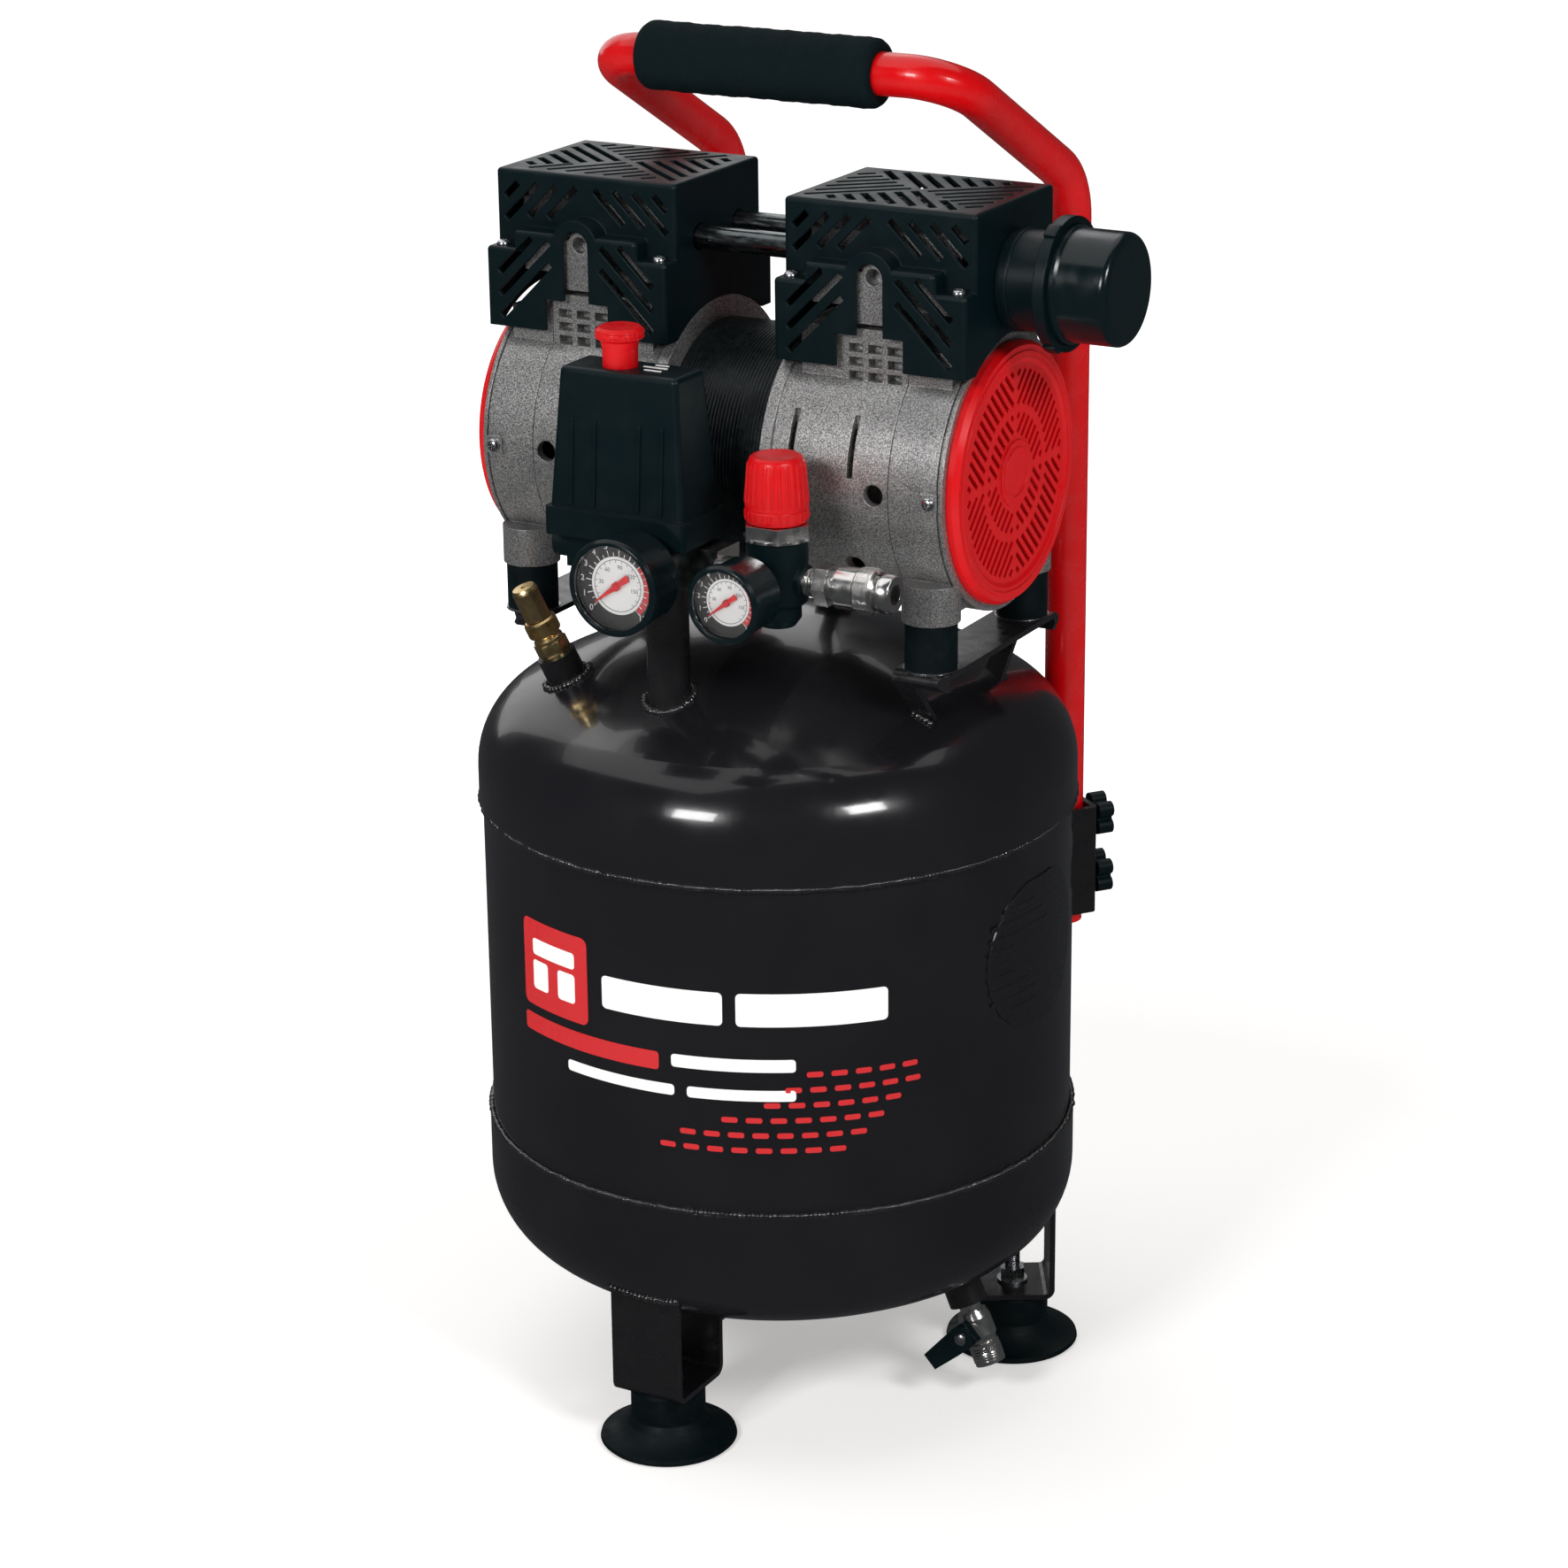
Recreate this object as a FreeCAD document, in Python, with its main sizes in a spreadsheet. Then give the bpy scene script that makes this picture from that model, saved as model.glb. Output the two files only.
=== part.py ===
"""Twin stack compressor: an upright air receiver with a twin-cylinder motor pump on top.

Lengths are in millimetres. +Z is up and the floor is Z = 0. +X is the motor axis, towards the
intake filter. -Y is the front, where the gauges are, and the handle stands at +Y.
"""
import FreeCAD, Part
import math
import os
import re

import Sketcher

Vector = FreeCAD.Vector
Rotation = FreeCAD.Rotation

# Driving dimensions, each a named cell of the sheet.
SIZES = {
    # the tank axis, measured from the middle of the whole object's footprint
    "axis_x": -20.6, "axis_y": -0.1,
    # air receiver
    "tank_r": 160, "tank_wall": 2, "seam_low": 150.3, "seam_high": 331, "lap": 10,
    "crown_r": 280, "knuckle_r": 45, "knuckle_low": 120, "knuckle_high": 348,
    "riser_x": -10, "riser_y": -95, "riser_r": 11, "riser_top": 470, "riser_foot": 402,
    "valve_x": -85, "valve_y": -73, "valve_foot": 399.3, "inlet_y": 66, "inlet_foot": 415.2,
    "drain_radius": 115, "drain_foot": 69.6, "boss_r": 10.5,
    "plate_low": 227, "plate_high": 308, "plate_thick": 0.9,
    # three legs and feet
    "foot_circle": 127.7, "foot_r": 36.7, "foot_top": 32, "foot_neck": 20,
    "leg_out": 150, "leg_in": 104, "leg_width": 41, "sheet": 3, "stud_r": 4,
    # pump rails and rubber mounts
    "mount_x": 118.5, "mount_y": 52, "mount_r": 13.5, "rail_top": 429, "mount_top": 454,
    "rail_width": 30, "rail_half": 66,
    # motor and pump
    "motor_z": 520, "case_r": 71, "case_wall": 5, "case_in": 31.5, "case_split": 103.5, "case_out": 134,
    "lug_r": 15, "neck_low": 560, "neck_top": 598, "neck_y": 48, "cyl_x": 85, "bore_r": 27,
    "stator_r": 62, "rotor_r": 33, "shaft_r": 6, "throw": 5, "eccentric_r": 13, "fan_r": 56,
    "fan_x": 121.5, "fan_wide": 9,
    "guard_r": 67.3, "guard_in": 136, "guard_out": 140.5, "hub_r": 17,
    "head_top": 652, "head_base": 606,
    # louvred shrouds
    "shroud_in": 31.2, "shroud_out": 138.8, "shroud_y": 43.3, "shroud_top": 659.6, "shroud_low": 579.5,
    "skirt_y": 55, "ear_top": 621, "skirt_top": 630.5, "shoulder_half": 36.5, "shroud_wall": 2.4,
    "arch_z": 625, "arch_r": 13.5, "notch_half": 7.7,
    # intake filter
    "filter_z": 620, "filter_base_r": 25.3, "filter_collar_r": 33.8, "filter_cap_r": 28.5,
    "filter_end": 201,
    # pressure switch and manifold
    "switch_x": -22.5, "switch_y": -104, "switch_wide": 82, "switch_deep": 42, "switch_low": 494,
    "switch_top": 580, "switch_taper": 5, "knob_x": -29, "knob_r": 12,
    "air_z": 482,
    # regulator, gauges and coupler
    "reg_x": 60, "reg_y": -105, "reg_r": 15.5, "reg_low": 458, "reg_nut": 503, "reg_knob_low": 511.5,
    "reg_knob_top": 545, "reg_knob_r": 16, "nut_flats": 31,
    "gauge_face": -160, "gauge_deep": 28, "big_x": -3.4, "big_r": 24.9, "small_x": 59.2, "small_r": 20,
    "coupler_start": 76.5, "coupler_end": 126, "sleeve_r": 11.6, "sleeve_travel": 4,
    "plug_r": 5.2,
    # handle
    "tube_r": 11, "tube_wall": 1.5, "tube_x": 104, "tube_y": 137, "tube_low": 226, "bend_z": 643,
    "bar_x": 103, "bar_y": 4, "bar_z": 715.3, "elbow_r": 35, "corner_r": 28,
    "grip_r": 18, "grip_length": 136, "grip_shift": -6.5,
    "clamp_low": 232, "clamp_high": 294, "star_high": 284, "star_low": 250,
}

FRONT = Rotation(Vector(1, 0, 0), 90)        # outline in X and Z, thickness towards -Y
SIDE = Rotation(Vector(1, 1, 1), 120)        # outline in Y and Z, thickness towards +X
UP = Rotation()

doc = FreeCAD.newDocument("twin_stack_compressor")
sheet = doc.addObject("Spreadsheet::Sheet", "Size")
for row, (alias, number) in enumerate(SIZES.items(), start=1):
    sheet.set(f"A{row}", alias.replace("_", " "))
    sheet.set(f"B{row}", str(number))
    sheet.setAlias(f"B{row}", alias)
doc.recompute()

PLACES = {}      # where each placed object stands, as expressions
PIECES = []      # the finished sub-parts


# ---- expressions, places and names -------------------------------------------------------------

def bound(text):
    """The same expression with each size named as its cell in the sheet."""
    return re.sub(r"[a-z_]+", lambda word: "Size." + word[0] if word[0] in SIZES else word[0], str(text))


def value(text):
    """What an expression comes to now."""
    return float(sheet.evalExpression(str(text)))


def drive(thing, **sizes):
    for name, text in sizes.items():
        thing.setExpression(name, bound(text))
    return thing


def aim(x, y, z):
    """The turn that points a piece's own +Z along a direction."""
    return Rotation(Vector(0, 0, 1), Vector(x, y, z))


def place(thing, at=(0, 0, 0), turn=UP):
    thing.Placement = FreeCAD.Placement(Vector(*[value(text) for text in at]), turn)
    for axis, text in zip("xyz", at):
        thing.setExpression(f"Placement.Base.{axis}", bound(text))
    PLACES[thing.Name] = at
    return thing


def finish(label, thing):
    """Name a finished sub-part and set it on the tank axis."""
    at = PLACES.get(thing.Name, (0, 0, 0))
    thing.setExpression("Placement.Base.x", bound(f"{at[0]} + axis_x"))
    thing.setExpression("Placement.Base.y", bound(f"{at[1]} + axis_y"))
    thing.Label = label
    PIECES.append(thing)
    return thing


# ---- Part primitives and booleans ----------------------------------------------------------------

def rod(radius, length, at=(0, 0, 0), turn=UP):
    thing = doc.addObject("Part::Cylinder", "Rod")
    return place(drive(thing, Radius=radius, Height=length), at, turn)


def hexagon(flats, length, at=(0, 0, 0), turn=UP):
    thing = doc.addObject("Part::Prism", "Hexagon")
    thing.Polygon = 6
    return place(drive(thing, Circumradius=f"({flats}) / sqrt(3)", Height=length), at, turn)


def block(low, high, turn=UP):
    """A box between two corners, given as expressions."""
    thing = doc.addObject("Part::Box", "Block")
    spans = [f"({b}) - ({a})" for a, b in zip(low, high)]
    return place(drive(thing, Length=spans[0], Width=spans[1], Height=spans[2]), low, turn)


def bar(centre, length, width, depth, turn):
    """A box about its own middle, turned where it stands: a cutter for one slot."""
    half = turn.multVec(Vector(value(length) / 2, value(width) / 2, value(depth) / 2))
    thing = doc.addObject("Part::Box", "Bar")
    drive(thing, Length=length, Width=width, Height=depth)
    at = [f"({text}) - ({shift:.4f})" for text, shift in zip(centre, half)]
    return place(thing, at, turn)


def fuse(*things):
    thing = doc.addObject("Part::MultiFuse", "Joined")
    thing.Shapes = list(things)
    return thing


def cut(base, *tools):
    thing = doc.addObject("Part::Cut", "Trimmed")
    thing.Base = base
    thing.Tool = tools[0] if len(tools) == 1 else fuse(*tools)
    return thing


def common(base, tool):
    thing = doc.addObject("Part::Common", "Shared")
    thing.Base = base
    thing.Tool = tool
    return thing


def group(*things):
    thing = doc.addObject("Part::Compound", "Group")
    thing.Links = list(things)
    return thing


def mirror(thing):
    """The same piece on the other side of the tank axis."""
    twin = doc.addObject("Part::Mirroring", "Mirrored")
    twin.Source = thing
    twin.Normal = Vector(1, 0, 0)
    return twin


def rounded(thing, radius, chosen):
    """Round the edges for which chosen(edge) is true."""
    doc.recompute()
    edges = [i for i, edge in enumerate(thing.Shape.Edges, start=1) if chosen(edge)]
    smooth = doc.addObject("Part::Fillet", "Rounded")
    smooth.Base = thing
    smooth.Edges = [(i, value(radius), value(radius)) for i in edges]
    return smooth


# ---- sketched bodies -----------------------------------------------------------------------------

def outline(body, plane, corners, holes=()):
    """A closed sketch. A corner is (x, y), or (x, y, radius, side) when an arc leads up to it."""
    sketch = body.newObject("Sketcher::SketchObject", "Sketch")
    origin = [item for item in body.Origin.OriginFeatures if item.Role == plane][0]
    sketch.AttachmentSupport = (origin, [""])
    sketch.MapMode = "FlatFace"
    points = [Vector(value(corner[0]), value(corner[1]), 0) for corner in corners]
    starts = []
    for index, corner in enumerate(corners):
        begin, end = points[index - 1], points[index]
        if len(corner) == 2:
            sketch.addGeometry(Part.LineSegment(begin, end))
            starts.append((1, 2))
            continue
        radius, side = value(corner[2]), corner[3]
        chord = end - begin
        lift = math.sqrt(max(radius ** 2 - (chord.Length / 2) ** 2, 0))
        normal = Vector(-chord.y, chord.x, 0).normalize()
        middle = (begin + end) * 0.5 + normal * lift * side
        first, last = (begin, end) if side > 0 else (end, begin)
        angles = [math.atan2(p.y - middle.y, p.x - middle.x) for p in (first, last)]
        sketch.addGeometry(Part.ArcOfCircle(Part.Circle(middle, Vector(0, 0, 1), radius), *angles))
        starts.append((1, 2) if side > 0 else (2, 1))
        number = sketch.addConstraint(Sketcher.Constraint("Radius", index, radius))
        sketch.setExpression(f"Constraints[{number}]", bound(corner[2]))
    for index, corner in enumerate(corners):
        after = (index + 1) % len(corners)
        end = starts[index][1]
        sketch.addConstraint(Sketcher.Constraint("Coincident", index, end, after, starts[after][0]))
        for kind, text in (("DistanceX", corner[0]), ("DistanceY", corner[1])):
            fixed = Sketcher.Constraint(kind, -1, 1, index, end, value(text))
            number = sketch.addConstraint(fixed)
            sketch.setExpression(f"Constraints[{number}]", bound(text))
    for x, y, radius in holes:
        circle = Part.Circle(Vector(value(x), value(y), 0), Vector(0, 0, 1), value(radius))
        index = sketch.addGeometry(circle)
        sizes = (("DistanceX", x, (-1, 1, index, 3)), ("DistanceY", y, (-1, 1, index, 3)),
                 ("Radius", radius, (index,)))
        for kind, text, where in sizes:
            number = sketch.addConstraint(Sketcher.Constraint(kind, *where, value(text)))
            sketch.setExpression(f"Constraints[{number}]", bound(text))
    return sketch


def turned(corners, at=(0, 0, 0), turn=UP):
    """A lathe-turned body: corners are (radius, height) about the body's own Z axis."""
    body = doc.addObject("PartDesign::Body", "Turned")
    sketch = outline(body, "XZ_Plane", corners)
    spin = body.newObject("PartDesign::Revolution", "Revolution")
    spin.Profile = sketch
    spin.ReferenceAxis = (sketch, ["V_Axis"])
    spin.Angle = 360
    return place(body, at, turn)


def plate(corners, thickness, at=(0, 0, 0), turn=UP, holes=()):
    """A body of even thickness: its outline in its own X and Y, its thickness along its own +Z."""
    body = doc.addObject("PartDesign::Body", "Plate")
    sketch = outline(body, "XY_Plane", corners, holes)
    pad = body.newObject("PartDesign::Pad", "Pad")
    pad.Profile = sketch
    drive(pad, Length=thickness)
    return place(body, at, turn)


def polar(radius, degrees):
    """A point on a circle, as expressions."""
    return f"({radius}) * cos({degrees})", f"({radius}) * sin({degrees})"


def hatch(corners, angle, pitch, margin):
    """Parallel strokes that fill a convex outline: each is (x, y, length)."""
    along = Vector(math.cos(angle), math.sin(angle), 0)
    across = Vector(-along.y, along.x, 0)
    offsets = [corner.dot(across) for corner in corners]
    count = int((max(offsets) - min(offsets)) / pitch)
    first = (max(offsets) + min(offsets) - (count - 1) * pitch) / 2
    strokes = []
    for step in range(count):
        offset = first + step * pitch
        hits = []
        for begin, end in zip(corners, corners[1:] + corners[:1]):
            a, b = begin.dot(across) - offset, end.dot(across) - offset
            if a * b < 0:
                hits.append((begin + (end - begin) * (a / (a - b))).dot(along))
        if len(hits) == 2 and max(hits) - min(hits) > 2 * margin + pitch * 0.6:
            middle = along * (sum(hits) / 2) + across * offset
            strokes.append((middle.x, middle.y, max(hits) - min(hits) - 2 * margin))
    return strokes


# ---- air receiver --------------------------------------------------------------------------------

CROWN_DROP = "sqrt((crown_r - knuckle_r)^2 - (tank_r - knuckle_r)^2)"
LEAN = "(tank_r - knuckle_r) / (crown_r - knuckle_r)"
SPOKES = (-90, 30, 150)


def dome_corners(wall, skirt):
    """Half a dished head: skirt, knuckle and crown, rising from the knuckle's level at height 0."""
    knuckle, crown = f"knuckle_r - {wall}", f"crown_r - {wall}"
    join = (f"({crown}) * {LEAN}", f"({crown}) * sqrt(1 - ({LEAN})^2) - {CROWN_DROP}")
    return [(f"tank_r - {wall}", f"-({skirt})"), (f"tank_r - {wall}", "0"), (*join, knuckle, 1),
            ("0", f"{crown} - {CROWN_DROP}", crown, 1)]


def reversed_corners(corners):
    """The same open line walked backwards, with each arc kept between the same two points."""
    back = [corners[-1][:2]]
    for index in range(len(corners) - 1, 0, -1):
        arc = corners[index][2:]
        step = corners[index - 1][:2]
        back.append((*step, arc[0], -arc[1]) if arc else step)
    return back


def dome_solid(at, turn):
    """The full outer form of a head, used to trim what is welded to it."""
    return turned([("0", "-40"), *dome_corners("0", "40")], at, turn)


def dished_head(skirt, at, turn):
    inner = reversed_corners(dome_corners("tank_wall", skirt))
    return turned([*dome_corners("0", skirt), *inner], at, turn)


def receiver():
    over = Rotation(Vector(1, 0, 0), 180)
    top = dished_head("knuckle_high - seam_high", (0, 0, "knuckle_high"), UP)
    bottom = dished_head("seam_low - knuckle_low", (0, 0, "knuckle_low"), over)
    shell = turned([("tank_r - 2 * tank_wall", "seam_low - lap"), ("tank_r - tank_wall", "seam_low - lap"),
                    ("tank_r - tank_wall", "seam_high + lap"), ("tank_r - 2 * tank_wall", "seam_high + lap")])
    finish("tank_shell", shell)

    riser_hole = rod("riser_r", 60, ("riser_x", "riser_y", 380))
    inlet_hole = rod("boss_r", 60, back_along(INLET_FOOT, (0, 0, 1), 30))
    valve_hole = rod("boss_r", 60, back_along(VALVE_FOOT, VALVE_AXIS, 30), VALVE_TURN)
    drain_hole = rod("boss_r", 60, back_along(DRAIN_FOOT, DRAIN_AXIS, 30), DRAIN_TURN)
    finish("tank_top_head", cut(top, riser_hole, valve_hole, inlet_hole))
    finish("tank_bottom_head", cut(bottom, drain_hole))

    tube = turned([("riser_r - 3", "riser_foot"), ("riser_r", "riser_foot"), ("riser_r", "riser_top"),
                   ("riser_r - 3", "riser_top")], ("riser_x", "riser_y", 0))
    finish("riser_pipe", tube)

    boss = [("boss_r - 4", "-5"), ("boss_r", "-5"), ("boss_r", "15"), ("boss_r - 4", "15")]
    finish("fitting_bosses", group(turned(boss, VALVE_FOOT, VALVE_TURN), turned(boss, INLET_FOOT),
                                   turned(boss, DRAIN_FOOT, DRAIN_TURN)))

    ring = turned([("tank_r - tank_wall", "plate_low"), ("tank_r - tank_wall + plate_thick", "plate_low"),
                   ("tank_r - tank_wall + plate_thick", "plate_high"), ("tank_r - tank_wall", "plate_high")])
    middle = "(plate_low + plate_high) / 2"
    half = "(plate_high - plate_low) / 2"
    low, high = f"{middle} - {half}", f"{middle} + {half}"
    end_r = f"1.03 * {half}"
    oval = plate([("-18", low, end_r, 1), ("8", low), ("8", high, end_r, 1), ("-18", high)],
                 60, (120, 0, 0), SIDE)
    finish("data_plate", common(ring, oval))


def back_along(at, axis, distance):
    return tuple(f"({text}) - ({step * distance:.5f})" for text, step in zip(at, axis))


def along(at, axis, distance):
    return back_along(at, axis, -distance)


def crown_normal(x, y, sign):
    """Which way the crown of a head faces at a place on it."""
    lean = math.hypot(x, y) / value("crown_r")
    flat = Vector(x, y, 0).normalize() * lean
    return (flat.x, flat.y, sign * math.sqrt(1 - lean ** 2))


VALVE_FOOT = ("valve_x", "valve_y", "valve_foot")
VALVE_AXIS = crown_normal(value("valve_x"), value("valve_y"), 1)
VALVE_TURN = aim(*VALVE_AXIS)
INLET_FOOT = ("0", "inlet_y", "inlet_foot")
DRAIN_SPOKE = -5
DRAIN_FOOT = (*polar("drain_radius", DRAIN_SPOKE), "drain_foot")
DRAIN_AXIS = crown_normal(value(DRAIN_FOOT[0]), value(DRAIN_FOOT[1]), -1)
DRAIN_TURN = aim(*DRAIN_AXIS)


def legs_and_feet():
    """Three channel legs welded under the lower head, each on a moulded rubber suction foot."""
    legs, feet, bolts = [], [], []
    trim = dome_solid((0, 0, "knuckle_low"), Rotation(Vector(1, 0, 0), 180))
    for spoke in SPOKES:
        turn = Rotation(Vector(0, 0, 1), spoke)
        channel = plate([("leg_in", "110"), ("leg_in", "foot_top + 6"), ("leg_in + 6", "foot_top", "6", 1),
                         ("leg_out - 6", "foot_top"), ("leg_out", "foot_top + 6", "6", 1), ("leg_out", "110"),
                         ("leg_out - sheet", "110"), ("leg_out - sheet", "foot_top + 6"),
                         ("leg_out - 6", "foot_top + sheet", "6 - sheet", -1),
                         ("leg_in + 6", "foot_top + sheet"),
                         ("leg_in + sheet", "foot_top + 6", "6 - sheet", -1), ("leg_in + sheet", "110")],
                        "leg_width", polar("leg_width / 2", spoke + 90) + ("0",), turn.multiply(FRONT))
        at = polar("foot_circle", spoke)
        hole = rod("stud_r + 0.3", 10, (*at, "foot_top - 3"))
        legs.append(cut(channel, trim, hole))
        feet.append(turned([("0", "6"), ("22", "6"), ("30", "0"), ("foot_r - 1.5", "0"), ("foot_r", "1.5"),
                            ("foot_r - 0.5", "3.5"), ("foot_neck + 2", "11", "26", -1),
                            ("foot_neck", "15"), ("foot_neck", "foot_top - 1.5"),
                            ("foot_neck - 1.5", "foot_top"), ("stud_r", "foot_top"), ("stud_r", "14"),
                            ("0", "14")], (*at, "0")))
        bolts.append(rod("stud_r", "60 - 14", (*at, "14")))
        nut = fuse(hexagon("13", "7", (*at, "foot_top + sheet + 1.5")),
                   rod("8.5", "1.5", (*at, "foot_top + sheet")))
        bolts.append(cut(nut, rod("stud_r", 20, (*at, "foot_top"))))
    finish("leg_brackets", group(*legs))
    finish("rubber_feet", group(*feet))
    finish("foot_bolts", group(*bolts))


def rails_and_mounts():
    """Two bent rails welded across the upper head carry the pump on four rubber mounts."""
    trim = dome_solid((0, 0, "knuckle_high"), UP)
    rails, rubbers, bolts = [], [], []
    for side in (1, -1):
        low = f"{side} * mount_x - rail_width / 2"
        strap = plate([("-33", "388"), ("-rail_half", "rail_top - 5"), ("5 - rail_half", "rail_top", "5", -1),
                       ("rail_half - 5", "rail_top"), ("rail_half", "rail_top - 5", "5", -1),
                       ("33", "388"), ("29", "388"), ("rail_half - 4", "rail_top - 5.4"),
                       ("rail_half - 6.5", "rail_top - sheet"), ("6.5 - rail_half", "rail_top - sheet"),
                       ("4 - rail_half", "rail_top - 5.4"), ("-29", "388")],
                      "rail_width", (low, 0, 0), SIDE)
        outer = f"{side} * (mount_x - 4)"
        spare = [outer, f"{side} * (mount_x + rail_width)"]
        spare = spare if side > 0 else spare[::-1]
        ears = block((spare[0], "-rail_half - 5", "380"), (spare[1], "rail_half + 5", "rail_top - 9"))
        holes = []
        for end in (1, -1):
            at = (f"{side} * mount_x", f"{end} * mount_y")
            holes.append(rod("3.3", 20, (*at, "rail_top - 10")))
            rubbers.append(turned([("3", "rail_top"), ("mount_r", "rail_top"), ("mount_r", "mount_top"),
                                   ("3", "mount_top")], (*at, "0")))
            bolts.append(rod("3", "mount_top + 8 - (rail_top - 11)", (*at, "rail_top - 11")))
            nut = hexagon("10", "5", (*at, "rail_top - sheet - 5"))
            bolts.append(cut(nut, rod("3", 20, (*at, "rail_top - 12"))))
        reach = 6 if side > 0 else 15
        edge = [("mount_x + 16", "-rail_half - 1"), ("mount_x + 16", f"{reach} - rail_half"),
                (f"mount_x + 15 - {reach}", "-rail_half - 1")]
        edge = [(f"{side} * ({x})", y) for x, y in edge]
        corner = plate(edge if side > 0 else edge[::-1], 80, (0, 0, 370))
        rails.append(cut(strap, trim, ears, corner, *holes))
    finish("pump_rails", group(*rails))
    finish("rubber_mounts", group(*rubbers))
    return bolts


# ---- motor and pump --------------------------------------------------------------------------------

def crankcase():
    """The right-hand crankcase: a drum round the motor axis with a neck that carries the cylinder."""
    drum = rod("case_r", "case_split - case_in", ("case_in", 0, "motor_z"), SIDE)
    flange = rod("case_r + 2.5", "6", ("case_in", 0, "motor_z"), SIDE)
    neck = block(("case_in + 12", "-neck_y", "neck_low"), ("case_split", "neck_y", "neck_top"))
    body = fuse(drum, flange, neck)
    hollow = rod("case_r - case_wall", "case_split - case_in", ("case_in + case_wall", 0, "motor_z"), SIDE)
    well = rod("bore_r + 3.05", 60, ("cyl_x", 0, "neck_top - 55"))
    shaft_way = rod("12.05", 20, ("case_in - 5", 0, "motor_z"), SIDE)
    tools = [hollow, well, shaft_way]
    for x in (48, 82):
        tools.append(bar((x, "-case_r", "motor_z + 22"), 3.2, 30, 24, FRONT))
    tools.append(rod("5.5", 30, (95.5, "-case_r + 22", "motor_z"), FRONT))
    tools.append(rod("5.5", 34, (79, "-case_r + 44", "motor_z - 41"), FRONT))
    for column in range(3):
        for row in range(3):
            tools.append(bar((f"cyl_x - 11 + {column * 11}", "-neck_y", f"neck_top - 10 - {row * 7}"),
                             8, 4.4, 14, FRONT))
    return cut(body, *tools)


def end_frame():
    """The outer half of a crankcase: a ring with two mounting feet, closed by the fan guard."""
    ring = rod("case_r", "case_out - case_split - 0.4", ("case_split + 0.4", 0, "motor_z"), SIDE)
    groove_at = ("case_out - 3.4", 0, "motor_z")
    groove = cut(rod("case_r + 1", 1.3, groove_at, SIDE), rod("case_r - 1.6", 2, groove_at, SIDE))
    parts = [cut(ring, groove)]
    tools = [rod("case_r - case_wall", 50, ("case_split", 0, "motor_z"), SIDE)]
    for end in (1, -1):
        parts.append(rod("lug_r", "20", ("mount_x", f"{end} * mount_y", "mount_top")))
        low, high = sorted((end * 22, end * 50))
        parts.append(block(("mount_x - 11", low, "mount_top + 3"), ("mount_x + 11", high, "mount_top + 18")))
        tools.append(rod("3.05", 8.2, ("mount_x", f"{end} * mount_y", "mount_top")))
        near, far = sorted((end * 66, end * 72))
        parts.append(block(("case_out - 12", near, "motor_z - 4.5"),
                           ("case_out - 2.6", far, "motor_z + 4.5")))
        tools.append(rod("1.95", 20, ("case_out - 7", f"{end} * (case_r - 11)", "motor_z"), aim(0, end, 0)))
    neck = block(("case_split + 0.4", "-neck_y", "neck_low"), ("case_out - 6", "neck_y", "neck_top - 8"))
    return cut(fuse(*parts, neck), *tools, rod("bore_r + 3.05", 60, ("cyl_x", 0, "neck_top - 55")))


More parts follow.
